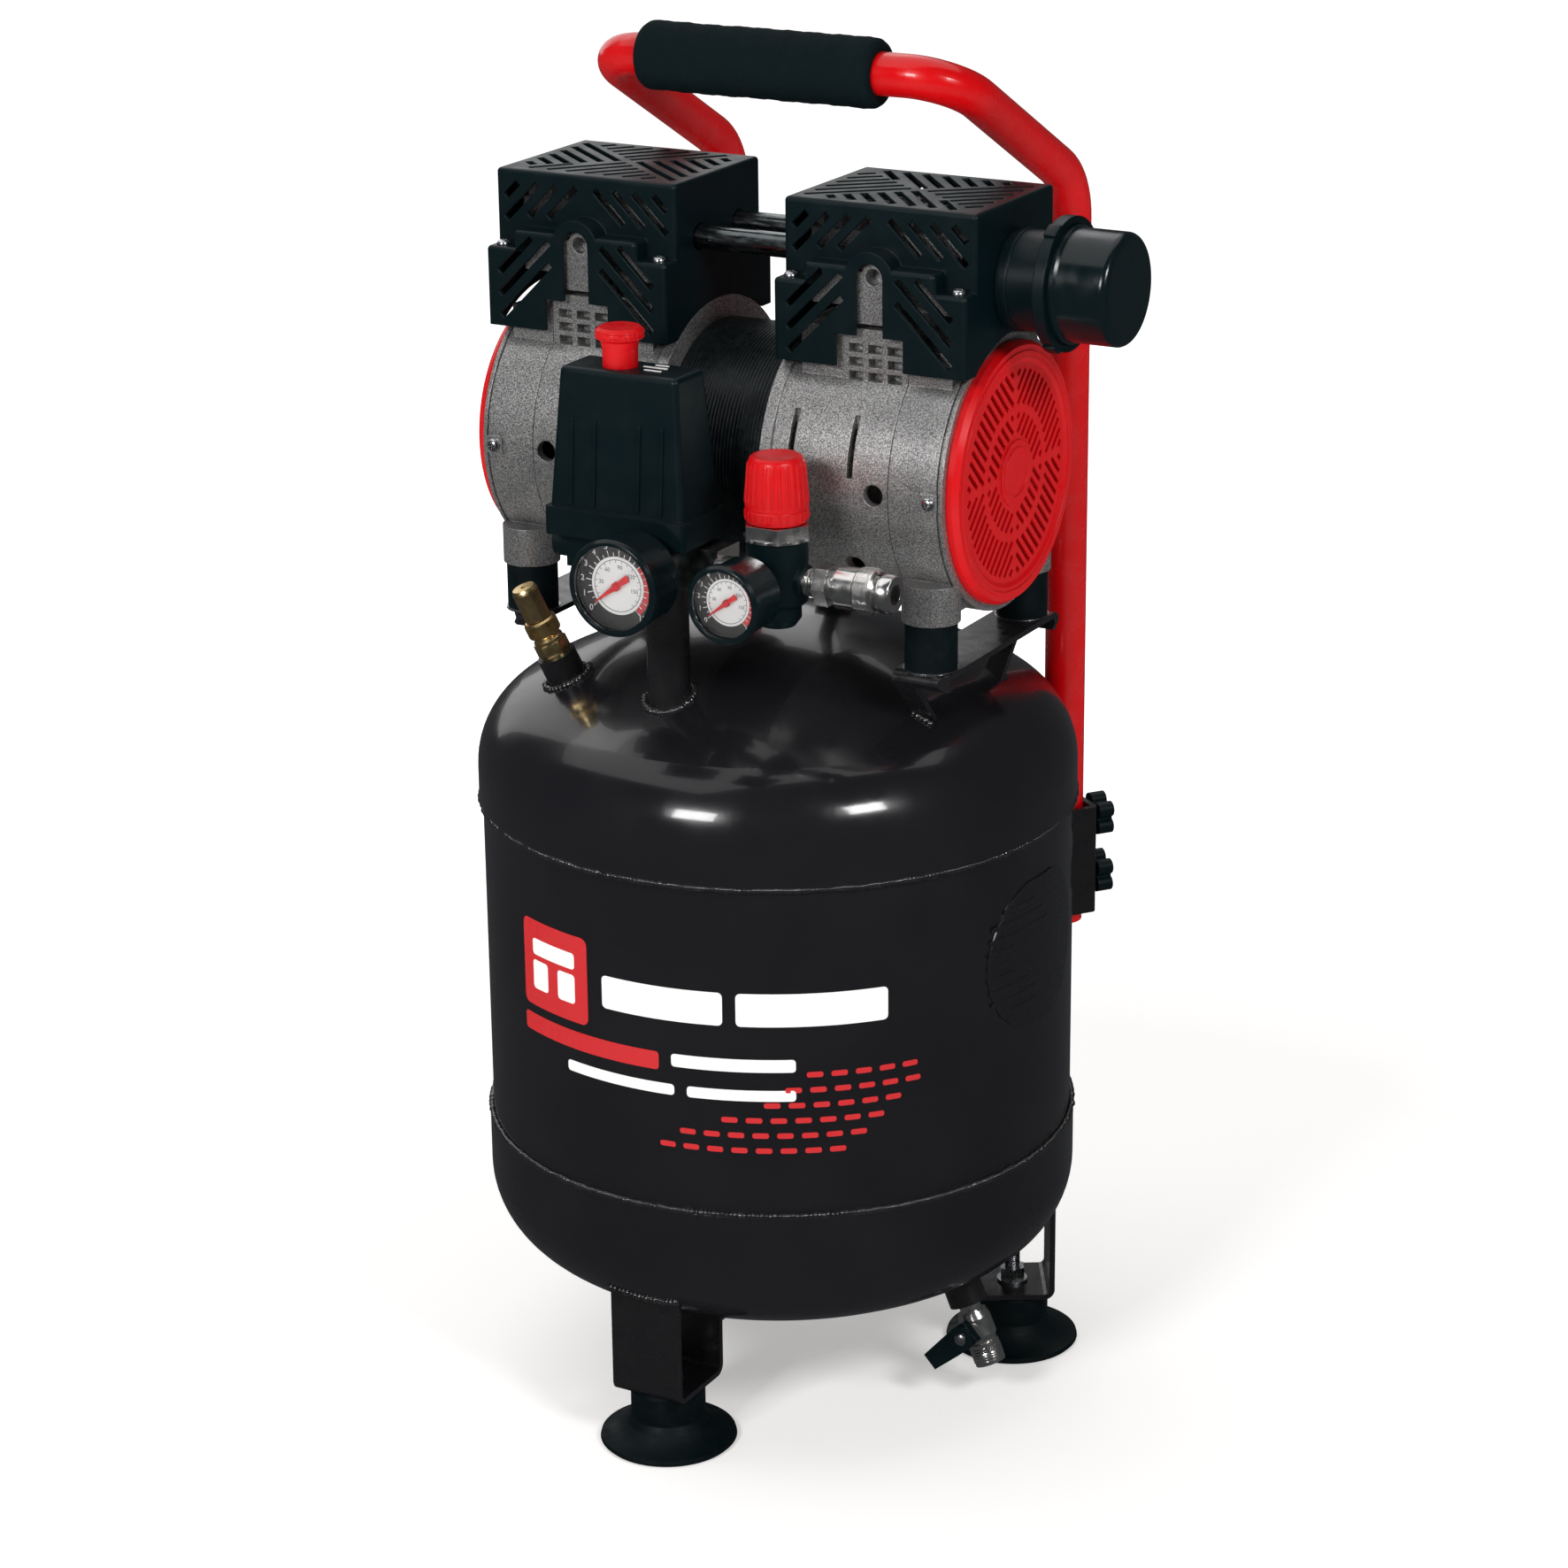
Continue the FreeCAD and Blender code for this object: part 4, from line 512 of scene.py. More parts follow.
def tree_with(name, sockets):
    """An empty tree with a geometry input and output and named inputs for its sizes."""
    tree = bpy.data.node_groups.new(name, "GeometryNodeTree")
    tree.interface.new_socket(name="Geometry", in_out="INPUT", socket_type="NodeSocketGeometry")
    for label, kind in sockets:
        tree.interface.new_socket(name=label, in_out="INPUT", socket_type=f"NodeSocket{kind}")
    tree.interface.new_socket(name="Geometry", in_out="OUTPUT", socket_type="NodeSocketGeometry")
    return tree, tree.nodes.new("NodeGroupInput"), tree.nodes.new("NodeGroupOutput")


def wire(tree, *links):
    """Link nodes: each link is (from node, output, to node, input)."""
    for source, way_out, target, way_in in links:
        tree.links.new(source.outputs[way_out], target.inputs[way_in])


def closing(tree, given, out, last):
    """Make the instances real and give them their finish."""
    real = tree.nodes.new("GeometryNodeRealizeInstances")
    paint = tree.nodes.new("GeometryNodeSetMaterial")
    wire(tree, (last, 0, real, 0), (real, 0, paint, "Geometry"), (given, "Finish", paint, "Material"),
         (paint, 0, out, 0))


def ring_tree():
    """Copies of the incoming shape around +Z, in rows along +Z, each row turned by a stagger."""
    tree, given, out = tree_with("ring_of_copies", (
        ("Count", "Int"), ("Rows", "Int"), ("Step", "Float"), ("Rise", "Float"), ("Stagger", "Float"),
        ("Finish", "Material")))
    add = tree.nodes.new
    total = add("ShaderNodeMath")
    total.operation = "MULTIPLY"
    points = add("GeometryNodePoints")
    index = add("GeometryNodeInputIndex")
    row, exact, place, angle, turn, lift, extra = (add("ShaderNodeMath") for _ in range(7))
    for node, operation in ((exact, "DIVIDE"), (row, "FLOOR"), (place, "MODULO"), (angle, "MULTIPLY"),
                            (turn, "ADD"), (lift, "MULTIPLY"), (extra, "MULTIPLY")):
        node.operation = operation
    height, spin = add("ShaderNodeCombineXYZ"), add("ShaderNodeCombineXYZ")
    stamp = add("GeometryNodeInstanceOnPoints")
    wire(tree, (given, "Count", total, 0), (given, "Rows", total, 1), (total, 0, points, "Count"),
         (index, 0, exact, 0), (given, "Count", exact, 1), (exact, 0, row, 0), (index, 0, place, 0),
         (given, "Count", place, 1), (place, 0, angle, 0), (given, "Step", angle, 1), (row, 0, extra, 0),
         (given, "Stagger", extra, 1), (angle, 0, turn, 0), (extra, 0, turn, 1), (row, 0, lift, 0),
         (given, "Rise", lift, 1), (lift, 0, height, "Z"), (height, 0, points, "Position"),
         (turn, 0, spin, "Z"), (points, 0, stamp, "Points"), (given, "Geometry", stamp, "Instance"),
         (spin, 0, stamp, "Rotation"))
    closing(tree, given, out, stamp)
    return tree


def bead_tree():
    """Overlapping weld scales along the incoming line, each a little different."""
    tree, given, out = tree_with("weld_bead", (
        ("Pitch", "Float"), ("Width", "Float"), ("Seed", "Int"), ("Finish", "Material")))
    add = tree.nodes.new
    line = add("GeometryNodeMeshToCurve")
    resample = add("GeometryNodeResampleCurve")
    resample.mode = "LENGTH"
    tangent = add("GeometryNodeInputTangent")
    aim = add("FunctionNodeAlignRotationToVector")
    aim.axis = "X"
    scale_of = add("FunctionNodeRandomValue")
    scale_of.data_type = "FLOAT"
    scale_of.inputs[2].default_value = 0.72
    scale_of.inputs[3].default_value = 1.18
    jitter = add("FunctionNodeRandomValue")
    jitter.data_type = "FLOAT_VECTOR"
    jitter.inputs[0].default_value = (-0.00018, -0.00018, -0.00022)
    jitter.inputs[1].default_value = (0.00018, 0.00018, 0.00022)
    nudge = add("GeometryNodeSetPosition")
    size = add("ShaderNodeMath")
    size.operation = "MULTIPLY"
    scale = add("GeometryNodeMeshIcoSphere")
    scale.inputs["Radius"].default_value = 0.5
    scale.inputs["Subdivisions"].default_value = 2
    stamp = add("GeometryNodeInstanceOnPoints")
    wire(tree, (given, "Geometry", line, 0), (line, 0, resample, 0), (given, "Pitch", resample, "Length"),
         (resample, 0, nudge, "Geometry"), (given, "Seed", jitter, "Seed"), (jitter, 0, nudge, "Offset"),
         (nudge, 0, stamp, "Points"), (scale, 0, stamp, "Instance"), (tangent, 0, aim, "Vector"),
         (aim, 0, stamp, "Rotation"), (given, "Seed", scale_of, "Seed"), (scale_of, 1, size, 0),
         (given, "Width", size, 1), (size, 0, stamp, "Scale"))
    closing(tree, given, out, stamp)
    return tree


def scatter_tree():
    """A copy of another object's shape on each point, its +Z along the point's stored aim."""
    tree, given, out = tree_with("copies_on_points", (("Shape", "Object"), ("Finish", "Material")))
    add = tree.nodes.new
    aim = add("GeometryNodeInputNamedAttribute")
    aim.data_type = "FLOAT_VECTOR"
    aim.inputs[0].default_value = "aim"
    align = add("FunctionNodeAlignRotationToVector")
    align.axis = "Z"
    source = add("GeometryNodeObjectInfo")
    stamp = add("GeometryNodeInstanceOnPoints")
    wire(tree, (given, "Geometry", stamp, "Points"), (given, "Shape", source, 0),
         (source, "Geometry", stamp, "Instance"), (aim, 0, align, "Vector"), (align, 0, stamp, "Rotation"))
    closing(tree, given, out, stamp)
    return tree


def thread_tree():
    """A helical thread about +Z, a small triangular ridge swept along a spiral."""
    tree, given, out = tree_with("screw_thread", (
        ("Radius", "Float"), ("Pitch", "Float"), ("Length", "Float"), ("Ridge", "Float"),
        ("Finish", "Material")))
    add = tree.nodes.new
    turns = add("ShaderNodeMath")
    turns.operation = "DIVIDE"
    spiral = add("GeometryNodeCurveSpiral")
    spiral.inputs["Resolution"].default_value = 28
    ridge = add("GeometryNodeCurvePrimitiveCircle")
    ridge.inputs["Resolution"].default_value = 4
    sweep = add("GeometryNodeCurveToMesh")
    sweep.inputs["Fill Caps"].default_value = True
    wire(tree, (given, "Length", turns, 0), (given, "Pitch", turns, 1), (turns, 0, spiral, "Rotations"),
         (given, "Radius", spiral, "Start Radius"), (given, "Radius", spiral, "End Radius"),
         (given, "Length", spiral, "Height"), (given, "Ridge", ridge, "Radius"),
         (spiral, 0, sweep, "Curve"), (ridge, 0, sweep, "Profile Curve"))
    closing(tree, given, out, sweep)
    return tree


TREES = {}


def grown(maker, mesh, finish, **sizes):
    """Run a node tree on a mesh with its named inputs set and return the plain result."""
    if maker not in TREES:
        TREES[maker] = maker()
    tree = TREES[maker]
    thing = bpy.data.objects.new("grown", mesh)
    bpy.context.collection.objects.link(thing)
    tool = thing.modifiers.new("grow", "NODES")
    tool.node_group = tree
    given = {**sizes, "Finish": finish_of(finish)}
    for item in tree.interface.items_tree:
        if item.in_out == "INPUT" and item.name in given:
            tool[item.identifier] = given[item.name]
    return settled(thing)


def around(mesh, finish, count, rows=1, rise=0.0, stagger=0.0, sweep=360.0):
    return grown(ring_tree, mesh, finish, Count=count, Rows=rows, Step=math.radians(sweep / count),
                 Rise=rise * MM, Stagger=math.radians(stagger))


def scattered(mesh, finish, spots):
    """Copies of a mesh at (place, direction) pairs."""
    points = bpy.data.meshes.new("points")
    points.from_pydata([place for place, direction in spots], [], [])
    aim = points.attributes.new("aim", "FLOAT_VECTOR", "POINT")
    for entry, (place, direction) in zip(aim.data, spots):
        entry.vector = direction
    shape = bpy.data.objects.new("shape", mesh)
    bpy.context.collection.objects.link(shape)
    result = grown(scatter_tree, points, finish, Shape=shape)
    bpy.data.objects.remove(shape)
    return result


def bead(points, finish, pitch, width, seed, closed=False):
    """A weld bead along points given as vectors."""
    line = bpy.data.meshes.new("line")
    edges = [(index, index + 1) for index in range(len(points) - 1)]
    if closed:
        edges.append((len(points) - 1, 0))
    line.from_pydata(points, edges, [])
    return grown(bead_tree, line, finish, Pitch=pitch * MM, Width=width * MM, Seed=seed)


def thread(finish, radius, pitch, length, ridge=0.35):
    return grown(thread_tree, bpy.data.meshes.new("seed"), finish, Radius=radius * MM, Pitch=pitch * MM,
                 Length=length * MM, Ridge=ridge * MM)


# ---- welds ----

CROWN_R, KNUCKLE_R = 280, 45         # the heads' dish and its rounded edge
CROWN_Z, KNUCKLE_Z = 143, 348        # the centres of the upper head's two radii
KNUCKLE_REACH, CROWN_EDGE = 115, 137
HEADS_SUM = 468                      # an upper and a lower height at the same place add up to this
MOTOR_Z = 520
GAUGE_Z = 482
VALVE_X, VALVE_Y, VALVE_FOOT = -85, -73, 399.3
LEG_SPOKES = (("front", -90), ("right", 30), ("left", 150))
SIDES = ((1, "right"), (-1, "left"))


def circle(radius, height, count):
    return [spot(*(radius * part for part in unit(360 * step / count)), height) for step in range(count)]


def head_top(x, y):
    """The height of the upper head above the floor."""
    radius = math.hypot(x, y)
    if radius < CROWN_EDGE:
        return CROWN_Z + math.sqrt(CROWN_R ** 2 - radius ** 2)
    return KNUCKLE_Z + math.sqrt(max(KNUCKLE_R ** 2 - (radius - KNUCKLE_REACH) ** 2, 0))


def head_bottom(x, y):
    return HEADS_SUM - head_top(x, y)


def ring_about(x, y, radius, height, count=48):
    """A closed line round an upright pipe where it meets a head."""
    line = []
    for step in range(count):
        angle = step * math.tau / count
        u, v = x + radius * math.cos(angle), y + radius * math.sin(angle)
        line.append(spot(u, v, height(u, v)))
    return line


def welds():
    seed = 1

    def weld(name, points, pitch, width, closed=False):
        nonlocal seed
        piece(name, bead(points, "weld", pitch, width, seed, closed), "weld")
        seed += 1

    for name, height in (("upper_seam_bead", 330.2), ("lower_seam_bead", 151.1)):
        weld(name, circle(159.0, height, 240), 2.3, 3.6, True)
    rings = (("riser_bead", -10, -95, 12.4, head_top), ("valve_boss_bead", VALVE_X, VALVE_Y, 11.4, head_top),
             ("inlet_boss_bead", 0, 66, 11.2, head_top), ("drain_boss_bead", 114.6, -10, 11.2, head_bottom))
    for name, x, y, radius, height in rings:
        weld(name, ring_about(x, y, radius, height), 2.4, 4.6, True)
    for leg, spoke in LEG_SPOKES:
        out = Vector((*unit(spoke), 0))
        across = Vector((-out.y, out.x, 0))
        for side, reach in (("outer", 150.6), ("inner", 103.6)):
            line = []
            for step in range(11):
                place = out * reach + across * (step - 5) * 3.9
                line.append(spot(place.x, place.y, head_bottom(place.x, place.y) - 0.4))
            weld(f"leg_bead_{leg}_{side}", line, 2.4, 4.2)
    for side, name in SIDES:
        for end, place in ((1, "rear"), (-1, "front")):
            line = [spot(side * (104.5 + step * 1.0), end * 43.5, head_top(104.5 + step, 43.5) + 0.4)
                    for step in range(10)]
            weld(f"rail_bead_{name}_{place}", line, 2.2, 4.2)


# ---- markings on the tank ----

SHELL_R = 158.0


def wrapped(outline, thick=0.12, lift=0.03):
    """A thin sheet round the shell from an outline of (degrees, height in mm)."""
    builder = bmesh.new()
    around_mm = math.radians(1) * SHELL_R
    builder.faces.new([builder.verts.new((angle * around_mm, height, 0)) for angle, height in outline])
    start = int(min(angle for angle, height in outline)) - 1
    for degree in range(start, int(max(angle for angle, height in outline)) + 2, 2):
        bmesh.ops.bisect_plane(builder, geom=builder.verts[:] + builder.edges[:] + builder.faces[:],
                               plane_co=(degree * around_mm, 0, 0), plane_no=(1, 0, 0))
    made = bmesh.ops.extrude_face_region(builder, geom=builder.faces[:])
    for item in made["geom"]:
        if isinstance(item, bmesh.types.BMVert):
            item.co.z = thick
    for corner in builder.verts:
        angle = corner.co.x / SHELL_R
        radius = SHELL_R + lift + corner.co.z
        corner.co = spot(radius * math.cos(angle), radius * math.sin(angle), corner.co.y)
    return mesh_of(builder)


def panel(left, right, foot, top, corner=2.0):
    """A rounded rectangle as (degrees, height), its width given by two angles."""
    per_degree = math.radians(1) * SHELL_R
    shape = round_box((right - left) * per_degree, top - foot, corner)
    return [((left + right) / 2 + x / per_degree, (foot + top) / 2 + y) for x, y in shape]


def markings():
    """A red panel, red and white bars and rows of dashes, each panel as left, right, foot, top, corner."""
    red = ((-118, -99.5, 243, 291, 4), (-118, -84, 228, 238, 2))
    white = ((-96, -71.5, 256, 274, 2.5), (-69, -40.5, 256, 274, 2.5), (-81.5, -58, 231, 238, 1.8),
             (-105, -81, 215, 221, 1.8), (-78.5, -58, 215, 221, 1.8))
    trim = ((-114.8, -102.7, 272, 281, 2), (-114.8, -110.2, 253, 269, 2), (-107.3, -102.7, 253, 269, 2))
    for name, finish, panels, lift in (("red", "red_ink", red, 0.03), ("white", "white_ink", white, 0.03),
                                       ("trim", "white_ink", trim, 0.16)):
        sheets = [wrapped(panel(*sizes), lift=lift) for sizes in panels]
        piece(f"tank_marks_{name}", joined(sheets), finish, smooth=30)
    dashes = []
    for row, (start, count) in enumerate(((-84, 8), (-80, 8), (-72, 7), (-64, 6), (-60, 6), (-56, 5))):
        for column in range(count):
            left = start + column * 4.6
            dashes.append(wrapped(panel(left, left + 3.1, 186 + row * 8.4, 189 + row * 8.4, 1.2)))
    piece("tank_marks_dashes", joined(dashes), "red_ink", smooth=30)

    plate = []
    for foot, left, right in ((296, -27, -17), (289, -30.5, -14), (282, -31, -21), (282, -19.5, -12),
                              (275, -31.5, -24), (268, -31.5, -26), (261, -31.5, -24), (254, -31, -19),
                              (247, -30.5, -16), (240, -28, -16)):
        plate.append(wrapped(panel(left + 13, right + 13, foot, foot + 2.6, 1.1), thick=0.25, lift=0.92))
    piece("data_plate_bars", joined(plate), "sheet", smooth=30)


# ---- gauges ----

def word(text, height):
    """A dial number as a thin centred mesh, its height in millimetres."""
    curve = bpy.data.curves.new("number", "FONT")
    curve.body = text
    curve.align_x, curve.align_y = "CENTER", "CENTER"
    curve.size = height * 1.38 * MM
    curve.extrude = 0.025 * MM
    curve.resolution_u = 5
    curve.offset = height * 0.012 * MM
    thing = bpy.data.objects.new("number", curve)
    bpy.context.collection.objects.link(thing)
    return settled(thing)


DIAL_START, DIAL_SWEEP = 220, 268
DIAL_UNIT = DIAL_SWEEP / 12


def numerals(texts, values, reach, height, level):
    """Numbers round a dial, each at the angle of its value."""
    made = []
    for text, value in zip(texts, values):
        angle = math.radians(DIAL_START - DIAL_UNIT * value)
        made.append(moved(word(text, height), shift(reach * math.cos(angle), reach * math.sin(angle), level)))
    return joined(made)


def ticks(finish, inner, outer, width, count, level):
    """Evenly spaced marks from the start of the scale to its end."""
    half = width / 2
    mark = slab([(inner, -half), (outer, -half), (outer, half), (inner, half)], level, level + 0.05)
    mesh = around(mark, finish, count + 1, sweep=DIAL_SWEEP * (count + 1) / count)
    return moved(mesh, Matrix.Rotation(math.radians(DIAL_START - DIAL_SWEEP), 4, "Z"))


def gauge(name, x, size):
    """Dial print, bezel and needle of a gauge of a given radius."""
    face = facing(spot(x, -152.8, GAUGE_Z), -Y)

    def put(part, mesh, finish, **more):
        piece(f"{name}_{part}", mesh, finish, matrix=face, **more)

    put("disc", lathe([(0, 0.01), (size * 0.6, 0.01), (size * 0.6, 0.07), (0, 0.07)], 96), "white_ink")
    put("circle", lathe([(size * 0.525, 0.08), (size * 0.54, 0.08), (size * 0.54, 0.11),
                         (size * 0.525, 0.11)], 96), "grey_ink")
    put("small_marks", ticks("grey_ink", size * 0.47, size * 0.53, size * 0.012, 17, 0.08), "grey_ink")
    put("main_marks", ticks("white_ink", size * 0.61, size * 0.735, size * 0.022, 12, 0.1), "white_ink")
    put("half_marks", ticks("white_ink", size * 0.61, size * 0.68, size * 0.016, 24, 0.1), "white_ink")
    top, end = DIAL_START - DIAL_UNIT * 8, DIAL_START - DIAL_UNIT * 12
    put("red_band", slab(sector(size * 0.61, size * 0.74, top, end, 40), 0.02, 0.07), "red_ink", smooth=0)
    put("numbers", numerals([str(step) for step in range(13)], range(13), size * 0.82, size * 0.125, 0.06),
        "white_ink", smooth=0)
    inner = (30, 60, 90, 120, 150)
    put("inner_numbers", numerals([str(step) for step in inner], [step / 14.5 for step in inner],
                                  size * 0.385, size * 0.085, 0.1), "grey_ink", smooth=0)
    put("bezel", lathe([(size - 2.95, 7.4), (size - 2.3, 7.3), (size - 1.2, 6.9), (size - 0.9, 6.6),
                        (size - 2.95, 6.6)], 96), "gloss")

    tip, tail, wide = size * 0.62, size * 0.34, size * 0.035
    outline = [(tip, -wide * 0.35), (tip, wide * 0.35), (size * 0.1, wide * 1.5), (size * 0.05, wide * 2.5),
               (-size * 0.05, wide * 2.5), (-size * 0.1, wide * 1.6), (-tail, wide * 2.1),
               (-tail, -wide * 2.1), (-size * 0.1, -wide * 1.6), (-size * 0.05, -wide * 2.5),
               (size * 0.05, -wide * 2.5), (size * 0.1, -wide * 1.5)]
    needle = joined([slab(outline, 1.6, 2.0), lathe([(0, 0.2), (1.1, 0.2), (1.1, 1.6), (1.6, 1.6),
                                                    (1.6, 2.3), (1.1, 2.6), (0, 2.6)], 32)])
    needle.transform(Matrix.Rotation(math.radians(217), 4, "Z"))
    put("pointer", needle, "red", body=f"{name}_needle", replaces=(f"gauge_{name}_needle",))


# ---- regulator, coupler and valves ----

def regulator_knob():
    """The red cap with tapered grip ribs, which replaces the plain knob."""
    stand = Matrix.Translation(spot(60, -105, 511.5))
    body = lathe([(5.2, 0), (14.6, 0), (15.4, 0.7), (16, 3), (16, 6.6), (15.6, 7.0), (15.6, 7.4),
                  (15.9, 7.8), (15.75, 10), (14.05, 30.4), (13.4, 32.3), (12.2, 33.3), (10.8, 33.5),
                  (9.5, 33.2), (0, 33.0), (0, 29), (5.2, 29)], 96)
    builder = bmesh.new()
    foot_half, crest_half, sunk, rise = 0.75, 0.45, 0.2, 0.62
    rings = []
    for level, radius, scale in ((9.2, 15.6, 0.2), (10.2, 15.65, 1), (29.2, 14.1, 1), (31, 13.7, 0.3)):
        foot, crest = radius - sunk, radius + rise * scale
        rings.append([builder.verts.new((x * MM, y * MM, level * MM)) for x, y in (
            (foot, -foot_half), (crest, -crest_half), (crest, crest_half), (foot, foot_half))])
    for lower, upper in zip(rings, rings[1:]):
        for step in range(4):
            after = (step + 1) % 4
            builder.faces.new([lower[step], lower[after], upper[after], upper[step]])
    builder.faces.new(rings[0])
    builder.faces.new(rings[-1])
    ribs = around(mesh_of(builder), "red", 26)
    low_rib = slab([(15.7, -0.5), (16.25, -0.3), (16.25, 0.3), (15.7, 0.5)], 1.8, 6.2)
    piece("regulator_cap", joined([body, ribs, around(low_rib, "red", 26)]), "red",
          body="regulator_knob", matrix=stand, replaces=("regulator_knob",))


def pyramid(width, height):
    """A four-sided point on a square base that stands on the corner, its base a little sunk."""
    builder = bmesh.new()
    half = width / 2 * MM
    base = [builder.verts.new((-0.1 * MM, y, z)) for y, z in ((half, 0), (0, half), (-half, 0), (0, -half))]
    crest = builder.verts.new((height * MM, 0, 0))
    for step in range(4):
        builder.faces.new([base[step], base[(step + 1) % 4], crest])
    builder.faces.new(base)
    return mesh_of(builder)


def knurl(radius, foot, rows, pitch, depth):
    """Diamond points round +Z in staggered rows."""
    count = int(math.tau * radius / pitch)
    point = moved(pyramid(pitch * 1.05, depth), shift(radius, z=foot))
    return around(point, "nickel", count, rows, pitch / 2, 180 / count)


def coupler():
    """The coupler's thread, the sleeve's knurled bands and the lip of its mouth."""
    along_x = facing(spot(76.5, -105, GAUGE_Z), X)
    piece("coupler_thread", thread("nickel", 6.6, 1.35, 6.4, 0.5), "nickel",
          matrix=along_x @ shift(z=0.8))
    bands = [knurl(11.55, foot, 3, 1.35, 0.42) for foot in (32.0, 34.6, 37.2)]
    piece("sleeve_knurl", joined(bands), "nickel", body="coupler_sleeve", matrix=along_x, smooth=0)
    piece("coupler_mouth", lathe([(5.25, 49.4), (8.7, 49.4), (9.9, 47.9), (9.9, 43.6), (9.1, 42.9),
                                  (9.1, 42.3), (8.95, 42.3), (8.95, 49.1), (5.25, 49.1)]), "nickel",
          matrix=along_x)


def valves():
    """Details of the safety valve on the crown and of the drain valve under the tank."""
    slope = math.hypot(VALVE_X, VALVE_Y) / CROWN_R
    flat = Vector((VALVE_X, VALVE_Y, 0)).normalized() * slope
    normal = Vector((flat.x, flat.y, math.sqrt(1 - slope ** 2)))
    frame_at = facing(spot(VALVE_X, VALVE_Y, VALVE_FOOT), normal, up=Y)
    rib = slab([(8.45, -0.26), (8.95, -0.08), (8.95, 0.08), (8.45, 0.26)], 28.6, 35)
    piece("safety_body_knurl", around(rib, "brass", 48), "brass", matrix=frame_at)
    flats = slab(arc(9.25, 30, 330, 6), 16, 23.5)
    piece("safety_valve_hex", eased(flats, 0.5), "brass", matrix=frame_at)
    collar = lathe([(6.2, 52.6), (7.05, 52.6), (7.05, 53.2), (6.8, 53.6), (6.2, 53.6)])
    piece("safety_cap_ring", collar, "brass", body="safety_cap", matrix=frame_at)

    reach = 115
    along, across = unit(-5)
    drain = spot(reach * along, reach * across, 69.6)
    lean = reach / CROWN_R
    down = Vector((along * lean, across * lean, -math.sqrt(1 - lean ** 2)))
    place = facing(drain, down, up=Y)
    piece("drain_outlet_thread", thread("nickel", 8.4, 1.5, 9, 0.45), "nickel",
          matrix=place @ shift(z=40))
    side = down.cross(Y).normalized()
    look = side.cross(down).normalized()
    look = -look if look.y > 0 else look
    screw = facing(drain + down * 29 * MM + look * 20 * MM, look)
    piece("drain_lever_screw", lathe([(0, 0), (3.4, 0), (3.4, 0.9), (2.6, 1.7), (0, 2)], 32), "zinc",
          body="drain_lever", matrix=screw)


# ---- soft grip ----

def foam_grip():
    """The padded sleeve: soft round ends and the slight waves of a hand-pushed foam tube."""
    profile = [(11.02, 0.6), (14.2, 0.1), (16.3, 1.0), (17.5, 2.9)]
    profile += [(17.72 + 0.16 * math.sin(step * 0.9) + 0.1 * math.sin(step * 2.3), 4 + step * 128 / 60)
                for step in range(61)]
    profile += [(17.5, 133.1), (16.3, 135), (14.2, 135.9), (11.02, 135.4)]
    mesh = lathe(profile, 96)
    for corner in mesh.vertices:
        flat = Vector((corner.co.x, corner.co.y, 0))
        if flat.length > 12 * MM:
            swell = noise.noise(Vector(corner.co) * 45) * 0.32 + noise.noise(Vector(corner.co) * 160) * 0.1
            corner.co += flat.normalized() * swell * MM
    grip = piece("grip_foam", mesh, "foam", body="handle", matrix=facing(spot(-74.5, 4, 715.3), X),
                 smooth=60, replaces=("foam_grip",))


# ---- fastenings and small fittings ----

def pan_head():
    """A pan-head screw with a cross recess cut into it."""
    head = lathe([(0, -1.2), (1.5, -1.2), (1.5, 0.1), (3.5, 0.1), (3.5, 0.9), (3.2, 1.6), (2.4, 2.3),
                  (1.2, 2.7), (0, 2.8)], 48)
    cross = joined([slab([(-1.9, -0.36), (1.9, -0.36), (1.9, 0.36), (-1.9, 0.36)], 1.3, 4),
                    slab([(-0.36, -1.9), (0.36, -1.9), (0.36, 1.9), (-0.36, 1.9)], 1.3, 4)])
    thing = bpy.data.objects.new("head", head)
    cutter = bpy.data.objects.new("cutter", cross)
    for each in (thing, cutter):
        bpy.context.collection.objects.link(each)
    tool = thing.modifiers.new("recess", "BOOLEAN")
    tool.operation, tool.solver, tool.object = "DIFFERENCE", "EXACT", cutter
    tool.use_self = True
    mesh = settled(thing)
    bpy.data.objects.remove(cutter)
    return mesh


def cover_screws():
    """A screw in each crankcase's rim boss and two on each shroud's ears, front and back."""
    places = []
    for side in (1, -1):
        for end in (1, -1):
            places.append((spot(side * 127, end * 72.05, MOTOR_Z), Y * end))
            places += [(spot(side * across, end * 49.2, 621), Z) for across in (38.2, 131.8)]
    piece("pan_screws", scattered(pan_head(), "zinc", places), "zinc", replaces=("cover_screws",))


def stud_threads():
    """Threads on the foot studs, and washers under the feet's nuts and the pump's rubber mounts."""
    places = [(spot(*(127.7 * part for part in unit(spoke)), 44), Z) for _, spoke in LEG_SPOKES]
    piece("stud_threads", scattered(thread("zinc", 4.0, 1.25, 15, 0.35), "zinc", places), "zinc")
    wide = lathe([(6, 0.3), (14.3, 0.3), (14.3, 1.5), (6, 1.5)], 48)
    seats = [(spot(side * 118.5, end * 52, 427.8), Z) for side in (1, -1) for end in (1, -1)]
    piece("mount_washers", scattered(wide, "zinc", seats), "zinc")
    washer = lathe([(3.2, -8.9), (8.2, -8.9), (8.2, -8), (3.2, -8)], 40)
    feet = [(place - Z * 0.1 * MM, Z) for place, _ in places]
    piece("foot_washers", scattered(washer, "zinc", feet), "zinc")


